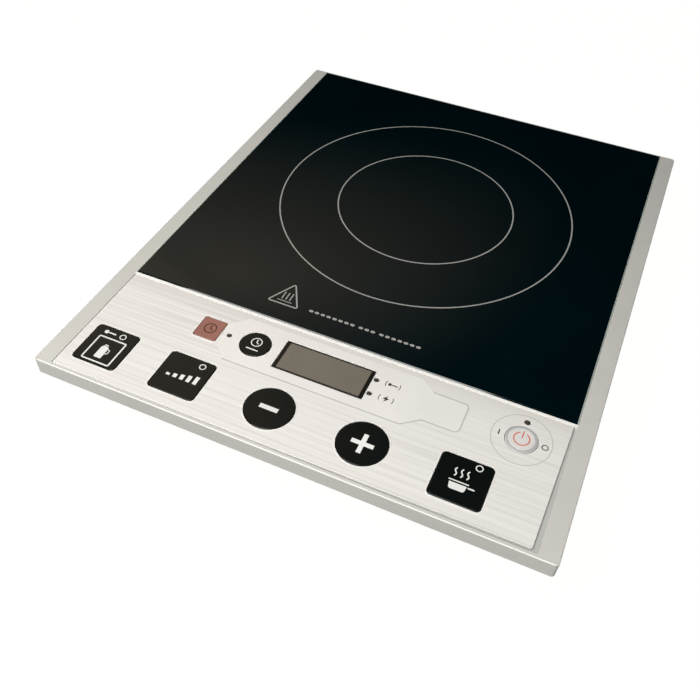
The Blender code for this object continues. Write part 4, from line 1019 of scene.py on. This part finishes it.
def panel_field():
    """Outline of the smooth field: wide round the display, narrow at its right end."""
    window = edges("display_window")
    left, right = window[0] - 36.5 * MM, window[1] + 55.0 * MM
    low, high = window[2] - 6.6 * MM, window[3] + 6.2 * MM
    corners = [
        (left + 9.0 * MM, low), (window[1] + 25.0 * MM, low), (window[1] + 34.5 * MM, low + 7.5 * MM),
        (right, low + 7.5 * MM), (right, high - 7.0 * MM), (window[1] + 35.0 * MM, high - 7.0 * MM),
        (window[1] + 26.0 * MM, high), (left + 8.0 * MM, high), (left, high - 8.5 * MM),
        (left, low + 8.8 * MM),
    ]
    return rounded(corners, [3 * MM] * 3 + [2.6 * MM] * 2 + [3 * MM] * 5)


class HOTPLATE_OT_keys(bpy.types.Operator):
    """Builds the eight push keys"""

    bl_idname = "hotplate.keys"
    bl_label = "Keys"

    def execute(self, context):
        finishes = {"timer": "timer_key", "on_off": "key_silver"}
        for name in KEYS:
            build_key(name, surface(finishes.get(name, "key")),
                      context.scene.hotplate_sizes.key_edge)
        place, height = middle("on_off_key").xy, top("on_off_key")
        raised = (  # name, finish, and (radius, height above the key's top) in mm
            # The ring's darker blue-grey: partly the ring's own tone, partly painted shade in the sloped bevel
            # round the disc.
            ("on_off_ring_shade", "key_ring_shade", ((8.6, -0.5), (8.6, -0.1), (8.2, 0.08), (7.3, 0.08), (7.1, -0.2))),
            ("on_off_disc", "key_silver", ((7.1, -0.2), (7.1, 0.14), (6.9, 0.22), (6.4, DISC_TOP))),
        )
        for name, finish, profile in raised:
            mesh = bmesh.new()
            turned(mesh, [(radius * MM, height + z * MM) for radius, z in profile], place)
            piece(name, mesh, surface(finish), "on_off_key")
        return {"FINISHED"}


def build_key(name, finish, edge):
    node = f"{name}_key"
    low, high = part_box(node)
    cap = key_cap(name)
    flange = grown(cap, FLANGE)
    stem = circle(1.5 * MM, middle(node).xy, len(cap))
    flange_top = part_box("top_frame")[1].z - FLANGE_DEPTH
    levels = [(stem, low.z), (stem, flange_top - FLANGE), (flange, flange_top - FLANGE), (flange, flange_top)]
    levels += [
        (grown(cap, -inset) if inset else cap, height)
        for height, inset in edge_levels(flange_top, high.z, edge)
    ]
    mesh = bmesh.new()
    stack(mesh, levels)
    piece(f"{name}_cap", mesh, finish, node, [node])


class HOTPLATE_OT_key_marks(bpy.types.Operator):
    """Prints the marks on the keys"""

    bl_idname = "hotplate.key_marks"
    bl_label = "Marks on the keys"

    def execute(self, context):
        height = context.scene.hotplate_sizes.print_height
        table = {
            "temp": (temp_marks(), "white"),
            "power": (power_marks(), "white"),
            "minus": ([bar(-0.3, -0.2, 11.0, 2.8)], "white"),
            "plus": ([cross(0.2, -0.3, 12.6, 2.6)], "white"),
            "keep_warm": (keep_warm_marks(), "white"),
            "timer": (clock(0.0, 0.0, 3.6, 0.7), "timer_mark"),
            "timer_cancel": (clock(0.0, 1.6, 3.1, 0.6) + [bar(-0.1, -4.3, 7.6, 0.8)], "white"),
            "on_off": (standby_mark(4.2, 0.6), "red"),
        }
        for name, (shapes, tone) in table.items():
            place = middle(f"{name}_key").xy
            shapes = [shift(shape, place) for shape in shapes]
            low = top(f"{name}_key") + (DISC_TOP * MM if name == "on_off" else 0.0)
            marks(f"{name}_mark", shapes, surface(tone), low, height, f"{name}_key")
        return {"FINISHED"}


def mm(points):
    return [Vector(point) * MM for point in points]


def shift(shape, place):
    if isinstance(shape, tuple):
        return moved(shape[0], *place), [moved(hole, *place) for hole in shape[1]]
    return moved(shape, *place)


def bar(x, y, wide, tall, radius=0.15):
    return rectangle((x - wide / 2) * MM, (x + wide / 2) * MM, (y - tall / 2) * MM, (y + tall / 2) * MM,
                     radius * MM, 3)


def cross(x, y, size, thick):
    far, near = size / 2, thick / 2
    quarter = [(near, -far), (near, -near), (far, -near)]
    corners = []
    for turn in range(4):
        for px, py in quarter:
            for _ in range(turn):
                px, py = -py, px
            corners.append((x + px, y + py))
    return [Vector(corner) * MM for corner in corners]


def lamp_ring(x, y, outer=2.05, inner=1.45):
    return circle(outer * MM, (x * MM, y * MM), 40), [circle(inner * MM, (x * MM, y * MM), 40)]


def thermometer(x, y, size):
    """A bulb and a tube lying to the right."""
    bulb = circle(0.18 * size * MM, ((x - 0.32 * size) * MM, y * MM), 32)
    tube = stroke(mm([(x - 0.05 * size, y), (x + 0.45 * size, y)]), 0.13 * size * MM)
    return [bulb, tube]


def temp_marks():
    """A thermometer, a lamp ring and a jug in a frame."""
    frame_line = band(rectangle(-8.4 * MM, 9.3 * MM, -12.1 * MM, 5.8 * MM, 0.8 * MM), 0.95 * MM)
    jug = rounded(mm([(-2.5, -9.2), (2.2, -9.2), (2.2, -1.4), (1.3, 0.0), (-1.6, 0.0), (-2.5, -1.4)]),
                  [v * MM for v in (0.7, 0.7, 0.6, 0.3, 0.3, 0.6)], 4)
    lid = bar(-0.15, 0.75, 2.4, 0.7, 0.2)
    handle = stroke(mm([(2.5, -1.8), (3.6, -2.2), (3.7, -4.6), (2.5, -5.3)]), 0.55 * MM)
    return [*thermometer(-4.2, 9.7, 7.6), lamp_ring(4.3, 9.8), frame_line, jug, lid, handle]


def power_marks():
    """Five rising bars and a lamp ring."""
    bars = []
    for number in range(5):
        tall = 1.6 + 1.0 * number
        bars.append(bar(-7.8 + 4.2 * number, -3.2 + tall / 2, 2.3, tall))
    return [*bars, lamp_ring(7.1, 9.8)]


def keep_warm_marks():
    """Steam over a covered pan, and a lamp ring."""
    steam = [stroke(wave(x * MM, 1.6 * MM, 6.4 * MM, 0.55 * MM), 0.75 * MM) for x in (-4.2, -0.9, 2.4)]
    pan = rounded(mm([(-5.6, -2.6), (-5.0, -6.6), (3.2, -6.6), (3.8, -2.6)]),
                  [corner * MM for corner in (0.1, 1.4, 1.4, 0.1)], 5)
    lid = stroke(mm([(-6.0, -1.3), (4.2, -1.3)]), 0.7 * MM)
    grip = stroke(mm([(4.6, -3.1), (7.6, -3.1)]), 0.8 * MM)
    return [*steam, pan, lid, grip, lamp_ring(6.3, 10.6)]


def clock(x, y, radius, line):
    hands = stroke(mm([(x, y + 0.62 * radius), (x, y), (x + 0.45 * radius, y - 0.28 * radius)]), line * MM)
    return [band(circle(radius * MM, (x * MM, y * MM), 48), line * MM), hands]


def standby_mark(radius, line):
    ring = stroke(arc(radius * MM, 118, 422, steps=40), line * MM)
    return [ring, stroke(mm([(0.0, 0.6), (0.0, 5.0)]), line * MM)]


class HOTPLATE_OT_panel_marks(bpy.types.Operator):
    """Prints the marks on the control panel"""

    bl_idname = "hotplate.panel_marks"
    bl_label = "Marks on the panel"

    def execute(self, context):
        height = context.scene.hotplate_sizes.print_height
        low = top("control_overlay")
        raised = low + 1.6 * height
        degree = middle("fahrenheit_led").xy + Vector((9.8, 0.0)) * MM
        watt = middle("watt_led").xy + Vector((9.8, 0.0)) * MM
        shapes = brackets(*degree) + [shift(s, degree) for s in thermometer(0.0, 0.0, 5.6)]
        shapes += brackets(*watt) + [shift(bolt(), watt)]
        marks("unit_marks", shapes, surface("dark"), raised, height)

        centre = middle("on_off_key").xy
        # The printed ring round the on/off key, in the grey of the field's painted shadow.
        marks("on_off_circle", [band(circle(16.3 * MM, centre), 0.45 * MM)], surface("shade"), low, height)
        on = shift(bar(-12.3, 0.0, 0.7, 3.4, 0.1), centre)
        off = shift(band(circle(1.6 * MM, (12.6 * MM, 0.0), 40), 0.55 * MM), centre)
        marks("on_off_marks", [on, off], surface("dark"), low, height)
        return {"FINISHED"}


def brackets(x, y):
    return [
        stroke([Vector((x, y)) + Vector((side * point.x, point.y))
                for point in arc(4.2 * MM, -26, 26, steps=10)],
               0.42 * MM)
        for side in (-1, 1)
    ]


def bolt():
    corners = [(0.4, 2.3), (-1.9, -0.4), (-0.3, -0.4), (-0.8, -2.3), (1.9, 0.6), (0.3, 0.6)]
    return mm(corners)


class HOTPLATE_OT_display(bpy.types.Operator):
    """Builds the display's window, its screen and the idle segments"""

    bl_idname = "hotplate.display"
    bl_label = "Display"

    def execute(self, context):
        height = context.scene.hotplate_sizes.print_height
        low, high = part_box("display_window")
        screen = edges("display_module")
        hole = rectangle(screen[0], screen[1], screen[2] - 1.2 * MM, screen[3] + 1.2 * MM, 0.3 * MM)
        mesh = bmesh.new()
        plate(mesh, rectangle(*edges("display_window"), 0.4 * MM), [hole], low.z, high.z, 0.15 * MM)
        piece("display_bezel", mesh, surface("bezel"), instead_of=["display_window"])
        mesh = bmesh.new()
        level = high.z - 0.12 * MM
        plate(mesh, grown(hole, -0.02 * MM), [], low.z, level, 0.0)
        piece("display_screen", mesh, surface("screen"))
        marks("idle_segments", digits(hole), surface("segments"), level, 0.2 * height)
        dress("display_module", "component")
        return {"FINISHED"}


def digits(hole, count=4):
    """Four slanted seven-bar figures across the screen."""
    left = min(point.x for point in hole)
    right = max(point.x for point in hole)
    y = sum(point.y for point in hole) / len(hole)
    half, tall = 2.9 * MM, 5.4 * MM
    shapes = []
    for number in range(count):
        x = left + (right - left) * (number + 0.5) / count
        for start, end in (((-1, 1), (1, 1)), ((-1, 0), (1, 0)), ((-1, -1), (1, -1)),
                           ((-1, 0), (-1, 1)), ((1, 0), (1, 1)), ((-1, -1), (-1, 0)), ((1, -1), (1, 0))):
            ends = []
            for (px, py), (qx, qy) in ((start, end), (end, start)):
                px, py = px + 0.14 * (qx - px), py + 0.14 * (qy - py)
                ends.append((x + px * half + 0.12 * py * tall, y + py * tall))
            shapes.append(stroke(ends, 0.95 * MM, 3))
    return shapes


class HOTPLATE_OT_lamps(bpy.types.Operator):
    """Builds the four indicator lamps"""

    bl_idname = "hotplate.lamps"
    bl_label = "Indicator lamps"

    def execute(self, context):
        for name in LAMPS:
            left, right, _, _ = edges(name)
            low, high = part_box(name)
            radius = (right - left) / 2
            dome = [(radius * math.cos(turn), high.z - 0.4 * MM + 0.4 * MM * math.sin(turn))
                    for turn in (math.pi / 2 * step / 6 for step in range(6))]
            mesh = bmesh.new()
            turned(mesh, [(radius, low.z), *dome, (0.08 * radius, high.z)], middle(name).xy, 32)
            piece(f"{name}_lens", mesh, surface("lamp"), instead_of=[name])
        return {"FINISHED"}


class HOTPLATE_OT_underside(bpy.types.Operator):
    """Finishes the bottom tub, its feet, its screws and the cord gland"""

    bl_idname = "hotplate.underside"
    bl_label = "Tub, feet and gland"

    def execute(self, context):
        dress("bottom_tub", "tub")
        soften("bottom_tub", 0.3 * MM)
        for name in sorted(frame["nodes"]):
            if name.startswith("foot_"):
                build_foot(name)
            if "screw" in name:
                dress(name, "steel")
        build_gland()
        return {"FINISHED"}


def build_foot(node):
    """A rubber foot with a rounded, ringed tread and a neck that goes up through the tub."""
    low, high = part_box(node)
    pad, shoulder, neck = (high.x - low.x) / 2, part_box("bottom_tub")[0].z - FIT, 3.0 * MM
    tread = [  # (tenths of the pad's radius, height in mm)
        (0.0, 0.6), (4.0, 0.6), (4.3, 0.1), (6.0, 0.1), (6.3, 0.6), (7.0, 0.6), (7.3, 0.0), (8.6, 0.0),
        (9.3, 0.2), (9.8, 0.7), (10.0, 1.5), (10.0, 4.4), (9.75, 4.6), (9.75, 5.1), (10.0, 5.3),
    ]
    profile = [(max(radius / 10, 0.01) * pad, z * MM) for radius, z in tread]
    profile += [(pad, shoulder - 0.4 * MM), (pad - 0.4 * MM, shoulder), (neck, shoulder), (neck, high.z)]
    mesh = bmesh.new()
    turned(mesh, profile, middle(node).xy, 64)
    piece(f"{node}_pad", mesh, surface("rubber"), instead_of=[node])


def build_gland():
    """A cord gland: a flange against the boss and a ribbed snout round the open bore."""
    low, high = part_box("cord_gland")
    flange, bore = (high.x - low.x) / 2, 4.0 * MM
    inner, tip = -16.0, 7.5  # its ends, in mm out of the boss
    snout = [  # (ninths of the flange's radius, mm out of the boss)
        (6.2, inner), (6.2, 0.3), (9.0, 0.3), (9.0, 1.8), (8.6, 2.3), (7.2, 2.5), (7.2, 3.4), (6.5, 3.5),
        (6.5, 3.9), (7.0, 4.0), (7.0, 4.9), (6.3, 5.0), (6.3, 5.4), (6.7, 5.5), (6.7, 6.4), (6.2, 7.1),
        (5.4, tip), (4.4, tip),
    ]
    profile = [(bore, inner * MM)] + [(radius / 9 * flange, out * MM) for radius, out in snout]
    profile += [(bore, 7.1 * MM), (bore, -15.9 * MM)]
    mesh = bmesh.new()
    turned(mesh, profile, (0.0, 0.0), 64, (False, False))
    place = Matrix.Translation((middle("cord_gland").x, high.y - tip * MM, middle("cord_gland").z))
    bmesh.ops.transform(mesh, matrix=place @ Matrix.Rotation(math.radians(-90), 4, "X"), verts=mesh.verts)
    piece("gland_body", mesh, surface("nylon"), instead_of=["cord_gland"])


class HOTPLATE_OT_inside(bpy.types.Operator):
    """Finishes the fan, the coil, the boards and what is on them"""

    bl_idname = "hotplate.inside"
    bl_label = "Inside"

    def execute(self, context):
        table = {
            "fan_frame": "fan", "fan_rotor": "fan", "control_board": "board", "power_board": "board",
            "buzzer": "component", "mica_sheet": "mica", "induction_coil": "copper", "coil_former": "former",
            "temperature_sensor": "former", "heatsink": "heatsink", "power_transistor": "component",
            "bridge_rectifier": "component", "resonant_capacitor": "capacitor",
            "filter_capacitor": "capacitor", "filter_choke": "copper", "ribbon_cable": "ribbon",
        }
        for node, finish in table.items():
            dress(node, finish)
        for node in frame["nodes"]:
            if node.startswith("ferrite"):
                dress(node, "ferrite")
            if node.endswith("_switch"):
                dress(node, "component")
        return {"FINISHED"}


class HOTPLATE_PT_panel(bpy.types.Panel):
    """Lists the settings and the steps"""

    bl_label = "Hot plate"
    bl_idname = "HOTPLATE_PT_panel"
    bl_space_type = "VIEW_3D"
    bl_region_type = "UI"
    bl_category = "Hot plate"

    def draw(self, context):
        for name, group in SETTINGS:
            box = self.layout.box()
            for key in group.__annotations__:
                box.prop(getattr(context.scene, name), key)
        for step in STEPS:
            self.layout.operator(step.bl_idname)


SETTINGS = (
    ("hotplate_colours", HOTPLATE_PG_colours),
    ("hotplate_sizes", HOTPLATE_PG_sizes),
    ("hotplate_studio", HOTPLATE_PG_studio),
)
STEPS = (
    HOTPLATE_OT_stage, HOTPLATE_OT_top_frame, HOTPLATE_OT_glass, HOTPLATE_OT_zone_marks, HOTPLATE_OT_panel,
    HOTPLATE_OT_keys, HOTPLATE_OT_key_marks, HOTPLATE_OT_panel_marks, HOTPLATE_OT_display, HOTPLATE_OT_lamps,
    HOTPLATE_OT_underside, HOTPLATE_OT_inside,
)


def register():
    for name, group in SETTINGS:
        bpy.utils.register_class(group)
        setattr(bpy.types.Scene, name, PointerProperty(type=group))
    for step in STEPS:
        bpy.utils.register_class(step)
    bpy.utils.register_class(HOTPLATE_PT_panel)


def unregister():
    bpy.utils.unregister_class(HOTPLATE_PT_panel)
    for step in reversed(STEPS):
        bpy.utils.unregister_class(step)
    for name, group in reversed(SETTINGS):
        delattr(bpy.types.Scene, name)
        bpy.utils.unregister_class(group)


def main():
    register()
    bpy.ops.hotplate.stage()
    bpy.ops.hotplate.top_frame()
    bpy.ops.hotplate.glass()
    bpy.ops.hotplate.zone_marks()
    bpy.ops.hotplate.panel()
    bpy.ops.hotplate.keys()
    bpy.ops.hotplate.key_marks()
    bpy.ops.hotplate.panel_marks()
    bpy.ops.hotplate.display()
    bpy.ops.hotplate.lamps()
    bpy.ops.hotplate.underside()
    bpy.ops.hotplate.inside()


if __name__ == "__main__":
    main()
